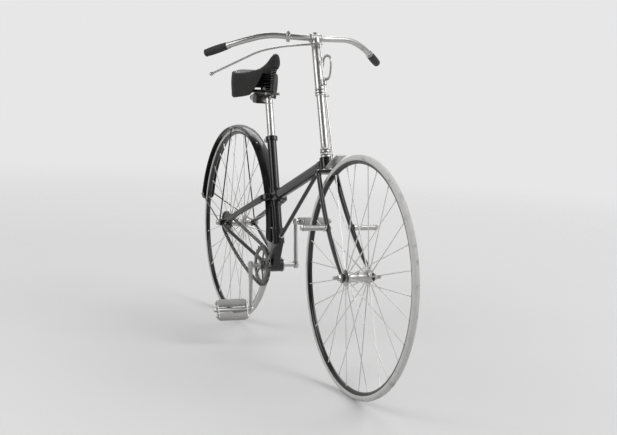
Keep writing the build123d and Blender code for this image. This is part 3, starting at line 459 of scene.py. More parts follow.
# Wheels. The two differ in their hubs: flange is half the way between the spokes' roots.
tyre = dict(steps=300, sides=22, ring=370.0, round=10.95, wear=0.35)
rim = dict(top=366.4, depth=14.2, half=8.9, lip=8.2, wall=0.2)
spokes = dict(count=30, first=3.0, inside=19.0, outside=353.0, rimHalf=3.0,
              root=((0, 2.5), (6.5, 2.55), (7.2, 2.3), (24, 2.25), (60, 1.95), (120, 1.65)),
              nipple=((24, 1.5), (15, 1.5), (14, 1.9), (3, 2.0), (1.5, 2.6), (0, 2.6)))
hubs = dict(radii=(16.3, 16.3, 15.2, 15.0, 14.6, 15.6, 18.4, 22.6, 23.9, 23.9, 22.8, 15.4, 12.2, 11.9, 11.0),
            front=(0, 2.6, 3.2, 6, 28, 32, 34.6, 35.8, 36.8, 39.2, 40.2, 40.6, 41.4, 44.4, 44.9),
            rear=(0, 2.6, 3.2, 6, 21, 24.5, 26.8, 27.9, 28.8, 31.2, 32.2, 32.6, 33.6, 53.4, 55.8),
            oilerAngle=62.0, oilerFoot=15.8, nutFoot=22.6, nut=((0, 2.9), (3.2, 2.9), (3.9, 2.5)))


def tyreRows(centre, seed):
    # a ring whose section is a circle, a little flattened on the tread by wear that changes round the wheel
    around, section = fullTurn(tyre["steps"])[:, None], fullTurn(tyre["sides"])
    tread = np.clip(np.cos(section), 0, 1) ** 10
    wear = tyre["wear"] + 0.12 * np.sin(3 * around + seed) + 0.08 * np.sin(7 * around + 2 * seed)
    reach = tyre["ring"] + np.cos(section) * tyre["round"] - wear * tread
    return circled(centre, reach, around, np.sin(section) * tyre["round"])


def rimRows(centre):
    # a crescent channel: half a superellipse outside, and inside the arc that holds the tyre
    outer = np.linspace(0, np.pi, 15)
    seatRound = tyre["round"] + rim["wall"]
    inner = np.linspace(-1, 1, 9) * math.asin(rim["lip"] / seatRound)
    reach = np.concatenate([rim["top"] - rim["depth"] * np.sin(outer) ** 0.75,
                            tyre["ring"] - seatRound * np.cos(inner)])
    left = np.concatenate([rim["half"] * np.cos(outer), seatRound * np.sin(inner)])
    return circled(centre, reach, fullTurn(tyre["steps"])[:, None], left)


def spokeTurns(side):
    # the right flange holds the even spokes and the left one the odd
    numbers = np.arange((side + 1) // 2, spokes["count"], 2)
    return spinMatrices(np.radians(spokes["first"] + numbers * 360 / spokes["count"]))


def spokeSet(centre, flange):
    # direct spokes: stout and threaded at the flange, thinning to plain wire, with a nipple at the rim
    shape = Shape()
    for side in (-1, 1):
        first = np.array([spokes["inside"], side * flange, 0.0])
        last = np.array([spokes["outside"], side * spokes["rimHalf"], 0.0])
        length = np.linalg.norm(last - first)
        profile = [*spokes["root"], *((length - back, radius) for back, radius in spokes["nipple"])]
        shape.copies(turned(first, last - first, profile, 9), spokeTurns(side), [centre])
    return shape


for name, centre, flange, seed in (("front", frontAxle, 38.0, 0.4), ("rear", rearAxle, 30.0, 2.1)):
    wheel = name + "_wheel"
    shape = Shape().add(tyreRows(centre, seed), loop=True)
    shape.made(name + "Tyre", wheel, "tyre_rubber", wheel + "_tyre", 60)
    shape = Shape().add(rimRows(centre), loop=True)
    shape.made(name + "Rim", wheel, "black_enamel", wheel + "_rim", 50)
    spokeSet(centre, flange).made(name + "Spokes", wheel, "nickel", wheel + "_spokes", 50, finish=spokeFinish)
    # the hub's half profile is mirrored: barrel with an oil band, rounded flange, cone
    distance, radius = np.array(hubs[name]), np.array(hubs["radii"])
    mirrored = [np.concatenate([-distance[::-1], distance[1:]]), np.concatenate([radius[::-1], radius[1:]])]
    shape = Shape().turn(centre, leftward, np.stack(mirrored, 1), 40)
    shape.oiler(centre + outward(hubs["oilerAngle"], hubs["oilerFoot"]), outward(hubs["oilerAngle"]))
    for side in (-1, 1):
        nut = turned((hubs["nutFoot"], side * flange, 0), (1, 0, 0), hubs["nut"], 12, hexEdge)
        shape.copies(nut, spokeTurns(side), [centre])
    shape.made(name + "Hub", wheel, "nickel", wheel + "_hub")

# The axles' threads are a fine zigzag.
axle = dict(core=5.9, nut=11.0, thread=6.0, threadLength=15.4, pitch=1.4, cut=0.55,
            end=[(16.4, 5.6), (17.3, 4.9), (18.0, 3.4)])
threads = [(0.5 * axle["pitch"] * k, axle["thread"] - (axle["cut"] if k % 2 else 0.0))
           for k in range(2 * int(axle["threadLength"] / axle["pitch"]) + 1)]
for name, centre, half, nutInside, body in (("front", frontAxle, 82.0, 55.3, "steering"),
                                            ("rear", rearAxle, 90.0, 76.3, "frame")):
    shape = Shape().turn(centre, leftward, [(17 - half, axle["core"]), (half - 17, axle["core"])], 20)
    for way in (-leftward, leftward):
        shape.turn(centre + way * (half - 18), way, threads + axle["end"], 20)
        shape.nut(centre + way * nutInside, way, axle["nut"], axle["nut"])
    shape.made(name + "Axle", body, "nickel", name + "_axle")
print("wheels made")


# Drive: a block chain, its two toothed wheels, the cranks and the pedals
bracket = place(402, 0, 287)
chain = dict(pitch=25.4, line=-46.0, sagRadius=1300.0, blockHalf=5.2, blockRound=4.1, blockWaist=1.1,
             block=((-3.0, 3.0),), plateRound=4.6, plateWaist=0.8, plates=((-5.3, -3.35), (3.35, 5.3)),
             bevel=0.4, pin=[(5.0, 2.5), (5.7, 2.5), (6.15, 1.5)])
bigTeeth, smallTeeth = 18, 10
bigRadius, smallRadius = [chain["pitch"] / 2 / math.sin(math.pi / teeth) for teeth in (bigTeeth, smallTeeth)]


def bearing(start, end):
    # the angle, from forward towards up, of the way from one point to another
    return math.atan2(end[2] - start[2], end[0] - start[0])


def chainLine():
    # the closed pitch line: the chainwheel's arc, a long sagging arc, the sprocket's arc and a straight run;
    # both wheels' circles touch the sagging arc from inside, so its centre is its radius less theirs away
    length, lean = np.linalg.norm(bracket - rearAxle), bearing(rearAxle, bracket)
    upper = lean + math.pi / 2 - math.asin((bigRadius - smallRadius) / length)
    toRear, toFront = chain["sagRadius"] - smallRadius, chain["sagRadius"] - bigRadius
    sagTurn = lean + math.acos((toRear ** 2 + length ** 2 - toFront ** 2) / (2 * toRear * length))
    sagCentre = circled(rearAxle, toRear, sagTurn)
    rearLeave, frontLeave = bearing(sagCentre, rearAxle), bearing(sagCentre, bracket)
    rearLeave -= 2 * math.pi if rearLeave > 0 else 0
    arcs = [circled(centre, radius, np.linspace(first, last, count), chain["line"])[:-1]
            for centre, radius, first, last, count in (
                (bracket, bigRadius, upper, frontLeave, 400),
                (sagCentre, chain["sagRadius"], frontLeave, rearLeave, 600),
                (rearAxle, smallRadius, rearLeave, upper - 2 * math.pi, 300))]
    straight = along(circled(rearAxle, smallRadius, upper, chain["line"]),
                     circled(bracket, bigRadius, upper, chain["line"]), 400)
    return np.vstack(arcs + [straight[:-1], arcs[0][:1]])


line = chainLine()
run = np.concatenate([[0], np.cumsum(np.linalg.norm(np.diff(line, axis=0), axis=1))])
links = int(round(run[-1] / chain["pitch"]))
step = run[-1] / links


def onChain(distance):
    distance = np.mod(distance, run[-1])
    return np.stack([np.interp(distance, run, column) for column in line.T], 1)


def stadium(half, radius, waist, sides=18):
    # a slot's outline about the origin, drawn in at the middle by the waist
    turn = fullTurn(sides) + np.pi / sides
    x = np.cos(turn) * radius + np.sign(np.cos(turn)) * half
    return np.stack([x, np.sin(turn) * (radius - waist * (1 - np.abs(np.cos(turn))))], 1)


def slab(outline, first, last, bevel):
    # an outline in the wheels' plane given a thickness along their axis, its edges softened
    small = outline * (1 - bevel / np.abs(outline).max())
    rows = ((small, first), (outline, first + bevel), (outline, last - bevel), (small, last))
    return np.stack([np.insert(ring, 1, left, 1) for ring, left in rows])


# the blocks, then the side plates between one block's pin and the next's, each turned along the line
shape = Shape()
starts = np.arange(links) * step
for half, radius, waist, offset, bands in (
        (chain["blockHalf"], chain["blockRound"], chain["blockWaist"], 0.0, chain["block"]),
        (step / 2 - chain["blockHalf"], chain["plateRound"], chain["plateWaist"], step / 2, chain["plates"])):
    outline = stadium(half, radius, waist)
    here, after = onChain(starts + offset - half), onChain(starts + offset + half)
    turns = spinMatrices(np.arctan2(after[:, 2] - here[:, 2], after[:, 0] - here[:, 0]))
    for first, last in bands:
        shape.copies(slab(outline, first, last, chain["bevel"]), turns, (here + after) / 2)
for way in (-leftward, leftward):
    pin = turned(origin, way, chain["pin"], 10)
    for offset in (-chain["blockHalf"], chain["blockHalf"]):
        shape.copies(pin, np.eye(3)[None], onChain(starts + offset))
shape.made("chainLinks", "frame", "chain_steel", "chain", 30)

teethForm = dict(steps=20, half=2.5, drop=5.0, rise=7.8, land=5.2, flank=2.0, rim=7.2, thin=1.5)


def toothedRing(centre, radius, teeth, inner, phase):
    # teeth rise from the root circle as flat-topped waves and are thinned towards their tips
    form, half = teethForm, teethForm["half"]
    turn = fullTurn(teeth * form["steps"])
    offset = np.abs(np.mod((turn - phase) * teeth / (2 * np.pi) + 0.5, 1) - 0.5) * chain["pitch"]
    tooth = np.clip((form["land"] - offset) / form["flank"], 0, 1) ** 0.7
    root = radius - form["drop"] + form["rise"] * tooth
    side = [(inner, half - 0.6), (inner + 0.6, half), (radius - form["rim"], half),
            (root - 0.8 * tooth, half - form["thin"] * tooth), (root, half - 2.1)]
    return np.stack([circled(centre, reach, turn, chain["line"] + sign * left)
                     for sign, rows in ((-1, side), (1, side[::-1])) for reach, left in rows])


def toothPhase(centre, near):
    # teeth stand midway between the blocks that lie on this wheel
    gaps = onChain(starts + step / 2)
    return bearing(centre, gaps[np.argmin(np.linalg.norm((gaps - near)[:, [0, 2]], axis=1))])


chainwheel = dict(inner=bigRadius - 19.5, arms=5, armFrom=12, armTo=bigRadius - 17, armThick=2.3, armHalf=4.2,
                  flare=2.4, hub=[(-5.4, 12), (-4.8, 13.4), (-3.0, 13.6), (-2.4, 17.6), (-1.8, 18.6),
                                  (2.0, 18.6), (2.6, 17.6), (4.2, 13.6), (5.0, 12.6)])
middle = bracket + leftward * chain["line"]
phase = toothPhase(bracket, bracket + [bigRadius, 0, 0])
shape = Shape().add(toothedRing(bracket, bigRadius, bigTeeth, chainwheel["inner"], phase), loop=True)
for k in range(chainwheel["arms"]):
    way = outward(math.degrees(phase) + k * 360 / chainwheel["arms"])
    arm = along(way * chainwheel["armFrom"], way * chainwheel["armTo"], 12) + middle
    tall = chainwheel["armHalf"] + chainwheel["flare"] * np.linspace(-1, 1, 12) ** 2
    shape.add(carried(arm, leftward, chainwheel["armThick"], tall, 14, 2.6))
shape.turn(middle, leftward, chainwheel["hub"], 40)
shape.made("chainwheelRing", "crank", "chain_steel", "chainwheel")

sprocket = dict(inner=15.0, rivets=6, reach=24.5, first=20.0, rivet=[(2.4, 2.6), (2.9, 2.6)],
                hub=[(-5, 13), (-4.4, 14.4), (-2.6, 14.6), (-2.2, 18.2), (2.2, 18.2), (2.6, 16), (4.4, 14)])
middle = rearAxle + leftward * chain["line"]
phase = toothPhase(rearAxle, rearAxle - [smallRadius, 0, 0])
shape = Shape().add(toothedRing(rearAxle, smallRadius, smallTeeth, sprocket["inner"], phase), loop=True)
shape.turn(middle, leftward, sprocket["hub"], 36)
for k in range(sprocket["rivets"]):
    spot = middle + outward(k * 360 / sprocket["rivets"] + sprocket["first"], sprocket["reach"])
    shape.turn(spot, -leftward, sprocket["rivet"] + domed(2.6, 0.9, 2.9), 12)
shape.made("sprocketRing", "rear_wheel", "chain_steel", "rear_sprocket")

cranks = dict(turn=9.0, length=159.0, inside=83.0, outside=96.0, boss=15.2, eye=12.2, rootHalf=9.6,
              tipHalf=7.2, rootThick=6.2, tipThick=5.2, pinAside=6.5, end=[(95.2, 7.9), (96.4, 7.9)])
spindle = dict(bar=[(84, 5.5), (96.3, 5.5), (96.4, 8.3), (97.2, 8.6), (100.4, 8.6), (101, 8.0), (104, 7.6),
                    (104.1, 5.5), (220, 5.5)],
               cap=[(219.6, 8.5), (221.0, 8.6), (221.6, 7.9), (224.2, 7.6), (224.6, 6.6)], nutFoot=224.4)


def crankEnd(side):
    # the crank's direction, its pedal eye and the way out from the frame; the cranks stand opposite
    arm = outward(side * 90 + cranks["turn"])
    return arm, bracket + arm * cranks["length"], side * leftward


for side, name in ((-1, "right"), (1, "left")):
    arm, eye, way = crankEnd(side)
    middle = way * (cranks["inside"] + cranks["outside"]) / 2
    shape = Shape().add(carried(along(bracket, eye, 16) + middle, leftward,
                                np.linspace(cranks["rootThick"], cranks["tipThick"], 16),
                                np.linspace(cranks["rootHalf"], cranks["tipHalf"], 16), 20, 3.0))
    for centre, radius in ((bracket, cranks["boss"]), (eye, cranks["eye"])):
        shape.turn(centre + way * cranks["inside"], way,
                   [(0, radius - 2), (0.5, radius - 0.8), (1.6, radius), (11.0, radius), (12.2, radius - 0.9),
                    (12.8, radius - 2.2), (13.0, radius - 4.5)], 36)
    # the cotter pin through the boss, and the axle's end
    cross = np.cross(arm, leftward)
    pin = bracket + middle + arm * cranks["pinAside"]
    shape.turn(pin - cross * 17.5, cross, rounded(36, 3.9, 0.8), 16)
    shape.nut(pin + cross * 14.4, cross, 5.6, 5.2)
    shape.turn(bracket, way, cranks["end"] + domed(7.6, 1.6, 96.4), 24)
    shape.made("crank" + name.title(), "crank", "nickel", "crank_" + name)

    # the pedal's spindle with its dust cap and end nut
    shape = Shape().turn(eye, way, spindle["bar"], 24).turn(eye, way, spindle["cap"], 28)
    shape.nut(eye + way * spindle["nutFoot"], way, 7.6, 6.2, False)
    shape.made("spindle" + name.title(), "crank", "nickel", "pedal_spindle_" + name)

pedals = dict(inside=105.0, plate=3.5, rubber=106.0, half=25.5, plateRound=10.6, waist=2.6, bevel=0.7,
              gap=0.6, tilts=dict(right=62.0, left=-8.0), flutes=14, flute=0.085,
              tube=(7.3, 7.9, 7.2, 6.6, 7.2, 7.9, 7.3),
              end=((0, 8.6), (0.7, 10.4), (2.6, 12.3), (5.6, 13.5), (9.0, 13.9)), middle=13.8)


def fluted(turn):
    # shallow grooves round the rubber, with broad lands between them
    return 1 - pedals["flute"] * np.clip(-np.cos(turn * pedals["flutes"]), 0, 1) ** 0.8


length = pedals["rubber"] - pedals["gap"]
rubberProfile = [*pedals["end"], (length * 0.5, pedals["middle"]),
                 *((length - distance, radius) for distance, radius in pedals["end"][::-1])]
far = pedals["inside"] + 2 * pedals["plate"] + pedals["rubber"] + pedals["gap"]
tube = list(zip((0, 4, 8, 50, far - 113, far - 109, far - 105), pedals["tube"]))
for side, name in ((-1, "right"), (1, "left")):
    eye, way = crankEnd(side)[1:]
    tilt = math.radians(pedals["tilts"][name])
    reach = np.array([math.cos(tilt), 0, -math.sin(tilt)])
    shape, rubbers = Shape().turn(eye + way * pedals["inside"], way, tube, 28), Shape()
    outline = stadium(pedals["half"], pedals["plateRound"], pedals["waist"], 36)
    for start in (pedals["inside"], far - pedals["plate"]):
        first, last = sorted((side * start, side * (start + pedals["plate"])))
        shape.copies(slab(outline, first, last, pedals["bevel"]), spinMatrices(np.array([-tilt])), [eye])
    for end in (-1, 1):
        centre = eye + reach * end * pedals["half"]
        for spot, out in ((pedals["inside"], -1), (far, 1)):
            shape.nut(centre + way * spot, way * out, 6.0, 5.0)
        start = pedals["inside"] + pedals["plate"] + pedals["gap"]
        rubbers.turn(centre + way * start, way, rubberProfile, 112, fluted)
    shape.made("pedal" + name.title(), name + "_pedal", "nickel", "pedal_" + name)
    rubbers.made("pedalRubber" + name.title(), name + "_pedal", "pedal_rubber", "pedal_rubbers_" + name, 55)
print("drive made")


# Steering: the head's axis leans back, and what stands on it is placed by its distance from the neck's middle
headLean = math.radians(stance["headAngle"])
headRun = np.array([-math.sin(headLean), 0, math.cos(headLean)])
headAhead = np.array([math.cos(headLean), 0, math.sin(headLean)])
neck = place(stance["neckAhead"], 0, stance["neckUp"])


def onHead(distance, forward=0.0, left=0.0):
    return neck + headRun * distance + headAhead * forward + leftward * left


barMiddle = onHead(431.3)

# every second ring is knurled and a little smaller
rings = dict(height=6.5, feet=(19.3, 27.9, 36.5, 45.1), collars=(240.5, 231.0),
             kinds=((16.9, 48, None), (16.4, 132, knurled)))
shape = Shape()
for foot, (radius, sides, edge) in zip(rings["feet"], rings["kinds"] * 2):
    shape.turn(onHead(foot), headRun, collared(rings["height"], 13.4, radius, 0.9, 1.2), sides, edge)
for foot in rings["collars"]:
    shape.turn(onHead(foot), headRun, collared(rings["height"], 13.3, 16.8, 1.2, 1.4), 48)
shape.made("columnRings", "steering", "nickel", "column_rings")

# painted shade: thin dark washers fill the gaps between the rings, standing in for the shade in those
# grooves; given by foot and height
grooves = ((25.9, 1.9), (34.5, 1.9), (43.1, 1.9), (237.6, 2.8), (247.1, 3.0))
shape = Shape()
for foot, height in grooves:
    shape.turn(onHead(foot), headRun, [(0, 13.2), (0, 15.3), (height, 15.3), (height, 13.2)], 48)
shape.made("ringShadeWashers", "steering", "spring_steel")

# the brake's rod runs down from the lever to the shoe, through a guide on the stem
rod = dict(top=398.0, ahead=27.0, footReach=402.2, footAngle=124.0, guide=264.3)
rodTop = onHead(rod["top"], rod["ahead"])
rodFoot = frontAxle + outward(rod["footAngle"], rod["footReach"])
rodRun = unit(rodFoot - rodTop)
guide = rodTop - rodRun * (rod["top"] - rod["guide"]) / (rodRun @ headRun)
stem = dict(beads=((253.2, 16.4, 5.0), (407.0, 16.2, 4.0)), lugHalf=17.4, lug=15.6, boltUp=13.6,
            guideNut=15.0, guide=[(-8, 7.6), (-7.2, 9.6), (-4.6, 9.9), (-3.8, 9.2), (3.8, 9.2), (4.6, 9.9),
                                  (7.2, 9.6), (8, 7.6)])
shape = Shape()
for distance, radius, width in stem["beads"]:
    shape.bead(onHead(distance), headRun, radius, width)
for left in (-stem["lugHalf"], stem["lugHalf"]):
    shape.bead(barMiddle + leftward * left, leftward, stem["lug"], 3.6)
shape.nut(barMiddle + headRun * stem["boltUp"], headRun, 7.4, 6.6)
shape.nut(onHead(rod["guide"], stem["guideNut"]), headAhead, 5.4, 3.6, False)
shape.turn(guide, rodRun, stem["guide"], 32)
shape.made("stemFittings", "steering", "nickel")

# the brake: a screw collar part way down the rod, the rod's eye and foot, the lever's pivot and its tip
brake = dict(collarAt=0.425, collar=[(0, 4.6), (0.3, 6.6), (1.2, 7.2), (8.8, 7.2), (9.7, 6.6), (10.0, 4.6)],
             eye=[(-5.5, 2.0), (-4.7, 4.6), (-2.9, 6.2), (0.5, 6.6), (5.5, 6.2), (8.5, 5.2), (11.5, 4.6)],
             foot=[(-26, 4.6), (-24, 5.4), (-10, 5.8), (-4, 7.2), (-0.8, 8.4), (0, 7.4)],
             pivot=(38, -1, -17), pivotHalf=8.5, tip=(-137, -315, -138), tipRun=(-71, -147, -88),
             knob=[(-15, 3.2), (-11, 3.9), (-7, 5.0), (-3, 6.2), (0, 6.6), (3, 5.6), (5.4, 3.4), (6.2, 1.4)])
collar = rodTop + (rodFoot - rodTop) * brake["collarAt"]
shape = Shape().turn(collar, rodRun, brake["collar"], 120, knurled)
shape.nut(collar + rodRun * 5, leftward, 4.0, 13.0, False)
shape.turn(rodTop, rodRun, brake["eye"], 24).turn(rodFoot, rodRun, brake["foot"], 24)
for way in (-leftward, leftward):
    shape.nut(rodFoot - rodRun * 9 + way * 4.2, way, 4.4, 4.4, False)
pivot = barMiddle + brake["pivot"]
shape.turn(pivot + leftward * brake["pivotHalf"], -leftward, rounded(2 * brake["pivotHalf"], 5.2, 1.0), 24)
shape.nut(pivot + leftward * 6.0, leftward, 5.0, 4.4)
tipRun = unit(brake["tipRun"])
shape.turn(barMiddle + brake["tip"], tipRun, brake["knob"], 24)
shape.made("brakeFittings", "steering", "nickel")

# the lever's clip sits on the bar's right half, between the points first and last
clip = dict(first=(0, -42, 0), last=(-46, -150, 4), share=48 / 108, beadHalf=5.2, bead=14.8, boltUp=13.2)
clipRun = unit(np.subtract(clip["last"], clip["first"]))
clipSpot = barMiddle + clip["first"] + np.subtract(clip["last"], clip["first"]) * clip["share"]
shape = Shape()
for offset in (-clip["beadHalf"], clip["beadHalf"]):
    shape.bead(clipSpot + clipRun * offset, clipRun, clip["bead"], 3.6)
shape.nut(clipSpot + upward * clip["boltUp"], upward, 4.8, 4.4)
shape.made("leverClipFittings", "steering", "nickel")

# grips: a barrel that swells by a sine's power 0.8, with fine square grooves near both ends
grips = dict(end=(-172, 324, -69), run=(88, -98, 49), back=5.3, barrel=12.2, swell=1.8, groove=0.55,
             grooves=30, start=[(0.2, 4.0), (0.5, 8.6), (2.0, 11.3)], finish=[(86.6, 11.6), (86.8, 10.2)],
             ferrule=[(86, 10.2), (86.2, 12.0), (87, 12.6), (88.6, 12.7), (89.4, 11.6), (93.4, 11.4),
                      (94.2, 11.8), (95.4, 11.7), (96, 10.8), (96.1, 10.1)], cap=[(-0.6, 7.4), (0, 7.2)])
share = np.linspace(0, 1, 40)
barrel = grips["barrel"] + grips["swell"] * np.sin(np.pi * np.clip(share * 0.86 + 0.1, 0, 1)) ** 0.8
grooved = (np.abs(np.mod(share * grips["grooves"] + 0.25, 1) - 0.5) < 0.2) & ((share < 0.17) | (share > 0.8))
profile = [*grips["start"], *zip(4 + share * 82, barrel - grips["groove"] * grooved), *grips["finish"]]
for side, name in ((-1, "right"), (1, "left")):
    mirror = (1, side, 1)
    way = unit(np.multiply(grips["run"], mirror))
    start = barMiddle + np.multiply(grips["end"], mirror) - way * grips["back"]
    grip = Shape().turn(start, way, profile, 36)
    grip.made("grip" + name.title(), "steering", "grip_rubber", "grip_" + name, 50)
    ferrule = Shape().turn(start, way, grips["ferrule"], 36)
    ferrule.turn(start, -way, grips["cap"] + domed(6.8, 1.5, 0.1), 24)
    ferrule.made("ferrule" + name.title(), "steering", "nickel")

# the lamp's loop is a round-cornered ring of forged section: a superellipse whose waves are raised to 0.68
lampLoop = dict(middle=onHead(316, 44.0, 11.5), halfWide=31.2, halfTall=38.2, corner=0.68, wallHalf=4.7,
                thickHalf=2.5, rivets=((-31.5, 2.2, -9), (-31.5, 2.2, 9)))
turn = fullTurn(72)
loopLine = np.stack([bent(np.cos(turn), lampLoop["corner"]) * lampLoop["halfWide"], np.zeros(72),
                     bent(np.sin(turn), lampLoop["corner"]) * lampLoop["halfTall"]], 1) + lampLoop["middle"]
section = carried(loopLine, leftward, lampLoop["thickHalf"], lampLoop["wallHalf"], 14, 2.6, True)
shape = Shape().add(section, loop=True)
for spot in lampLoop["rivets"]:
    shape.turn(lampLoop["middle"] + spot, leftward, [(0, 3.4), (0.8, 3.4)] + domed(3.4, 1.5, 0.8), 16)
shape.made("lampLoop", "steering", "nickel", "lamp_bracket")

# pegs with ribbed barrels, a nut at the end and the root's bolt head on the blade's inside
pegs = dict(ahead=942.02, up=513.56, root=48.72, nutOut=80.0, boltLeft=35.8, ribs=17, pitch=3.6,
            boss=[(0, 10.4), (0.9, 11.5), (6.8, 11.5), (8.2, 10.6), (9.4, 9.1), (13, 9.0)],
            rib=[(13.4, 9.0), (15.8, 9.0), (16.1, 8.4), (16.7, 8.4)],
            tip=[(74.6, 9.0), (77.0, 9.2), (77.3, 10.2), (79.6, 10.4), (80.2, 9.4)])
ribbed = [(foot + k * pegs["pitch"], radius) for k in range(pegs["ribs"]) for foot, radius in pegs["rib"]]
between = place(pegs["ahead"], 0, pegs["up"])
shape = Shape()
for way in (-leftward, leftward):
    shape.turn(between + way * pegs["root"], way, pegs["boss"] + ribbed + pegs["tip"], 32)
    shape.nut(between + way * (pegs["root"] + pegs["nutOut"]), way, 9.0, 7.4, False)
    shape.nut(between + way * pegs["boltLeft"], -way, 7.0, 4.0, False)
shape.made("footPegs", "steering", "nickel", "footrests")

crown = dict(beadUp=-22.6, bead=20.6, capUp=-25.4, capLeft=(-31, 31), cap=[(0, 6.4), (0.6, 7.4), (2, 7.2)])
shape = Shape()
shape.bead(onHead(crown["beadUp"]), headRun, crown["bead"], 5.2)
for left in crown["capLeft"]:
    shape.turn(onHead(crown["capUp"], 0, left), headRun, crown["cap"] + domed(6.4, 2.2, 2.1), 24)
shape.made("crownFittings", "steering", "nickel")
print("steering made")


# Frame: the backbone runs straight from the rear axle to the neck, and the seat tube leans back across it
slope = (stance["neckUp"] - stance["wheelRadius"]) / stance["neckAhead"]
seatTube = dict(lean=18.6, footAhead=440.0, footUp=385.0, aboveCross=226.0, pillar=140.0)
tubeLean = math.radians(seatTube["lean"])
tubeRun = np.array([-math.sin(tubeLean), 0, math.cos(tubeLean)])
tubeFoot = place(seatTube["footAhead"], 0, seatTube["footUp"])


def onBackbone(ahead):
    return place(ahead, 0, stance["wheelRadius"] + slope * ahead)


def onTube(distance):
    return tubeFoot + tubeRun * distance


# the height still missing at the tube's foot, over what one step along the tube gains on the backbone
gain = math.cos(tubeLean) + slope * math.sin(tubeLean)
crossing = (onBackbone(seatTube["footAhead"]) - tubeFoot)[2] / gain
cross = onTube(crossing)
backRun = unit(neck - cross)
tubeTop = crossing + seatTube["aboveCross"]
pillarTop = onTube(tubeTop + seatTube["pillar"])

lugs = dict(beads=((cross, tubeRun, -31.0, 20.9, 4.4), (cross, tubeRun, 31.0, 20.9, 4.4),
                   (cross, backRun, 48.0, 22.8, 4.4), (tubeFoot, tubeRun, 42.0, 21.9, 4.4),
                   (neck, headRun, -17.2, 21.9, 3.6), (neck, headRun, 17.2, 21.9, 3.6)),
            flare=[(-46, 18.4), (-45.4, 20.2), (-43, 20.8), (-41, 20.3), (-20, 20.9), (-16, 20.9)],
            forkBack=44.0, forkLeft=46.0, ovalTall=13.4, ovalWide=7.5)
shape = Shape()
for foot, run, distance, radius, width in lugs["beads"]:
    shape.bead(foot + run * distance, run, radius, width)
# the backbone's flare where it meets the neck, and the oval crown joints of the rear fork
shape.turn(neck, backRun, lugs["flare"], 40)
turn, tall = fullTurn(28)[:, None], np.cross(leftward, backRun)
oval = np.sin(turn) * tall * lugs["ovalTall"] + np.cos(turn) * leftward * lugs["ovalWide"]
for way in (-leftward, leftward):
    joint = cross - backRun * lugs["forkBack"] + way * lugs["forkLeft"]
    shape.add(carried(joint + oval, backRun, 2.6, 1.3, 10, 2.2, True), loop=True)
shape.made("lugBeads", "frame", "black_enamel")

# bracket cups with lock rings and six studs
cups = dict(cup=[(30.6, 24.6), (31.2, 26.1), (35.2, 26.1), (35.8, 25.0), (35.9, 19.5), (38.2, 19.0),
                 (38.6, 17.6), (38.7, 9.4)], studs=range(11, 371, 60), reach=22.4,
            stud=[(35.7, 1.9), (36.5, 1.9), (36.9, 1.2)])
shape = Shape()
for way in (-leftward, leftward):
    shape.turn(bracket, way, cups["cup"], 60)
    for angle in cups["studs"]:
        shape.turn(bracket + outward(angle, cups["reach"]), way, cups["stud"], 10)
shape.oiler(bracket + (12.0, 0, 20.6), (0.5, 0, 0.86), 1.15)
shape.oiler(onHead(0, 19.6, 4.0), headAhead + leftward * 0.7, 0.9)
# the clamp's bolt at the top of the seat tube, with a turned handle end
clamp = dict(down=7.5, back=31.0, boltHalf=12.0, nutOut=10.2, beadUp=1.4, bead=16.6,
             end=[(10, 6.8), (10.8, 7.4), (14.4, 7.4), (14.8, 7.0)])
ear = onTube(tubeTop - clamp["down"]) - np.cross(leftward, tubeRun) * clamp["back"]
shape.turn(ear - leftward * clamp["boltHalf"], leftward, rounded(2 * clamp["boltHalf"], 3.6, 0.6), 16)
shape.nut(ear + leftward * clamp["nutOut"], leftward, 6.6, 6.4)
shape.turn(ear, -leftward, clamp["end"] + domed(7.0, 2.2, 14.8), 28)
shape.bead(onTube(tubeTop + clamp["beadUp"]), tubeRun, clamp["bead"], 3.0)
# nuts at both ends of the front stay
stay = dict(topAhead=772.0, footOut=26.0, topBack=33.0,
            nut=[(0, 8.6), (0.7, 9.6), (6.6, 9.6), (7.4, 8.2), (7.5, 7.1)])
stayTop = onBackbone(stay["topAhead"])
stayRun = unit(stayTop - tubeFoot)
shape.turn(tubeFoot + stayRun * stay["footOut"], stayRun, stay["nut"], 24, hexEdge)
shape.turn(stayTop - stayRun * stay["topBack"], -stayRun, stay["nut"], 24, hexEdge)
shape.made("frameFittings", "frame", "nickel")


# Mudguard: an arch section swept round the wheel. The last stretch at each end narrows as a half circle.
guard = dict(inside=388.0, thick=1.5, half=25.6, drop=7.6, first=-2.0, last=174.0, roll=1.9, steps=170,
             tail=24.0, stayAngles=(97, 170), rivetAngles=(6, 60, 128, 167), rivetLeft=(-9, 9))
angles = np.radians(np.linspace(guard["first"], guard["last"], guard["steps"]))[:, None]
fromEnd = np.minimum(angles - angles[0], angles[-1] - angles) * guard["inside"]
narrow = np.sqrt(1 - (1 - np.clip(fromEnd / guard["tail"], 0, 1)) ** 2) * 0.97 + 0.03
share = narrow * np.linspace(-1, 1, 13)
arch = guard["inside"] - guard["drop"] * share ** 2
outer = circled(rearAxle, arch + guard["thick"], angles, guard["half"] * share)
inner = circled(rearAxle, arch, angles, guard["half"] * share)
shape = Shape().add(np.concatenate([outer, inner[:, ::-1]], 1))
edge = np.concatenate([inner[:, -1], inner[::-1, 0]])
shape.add(carried(edge, (edge - rearAxle) * (1, 0, 1), guard["roll"], guard["roll"], 8, loop=True), loop=True)
shape.made("mudguard", "frame", "black_enamel", "rear_mudguard", 50)

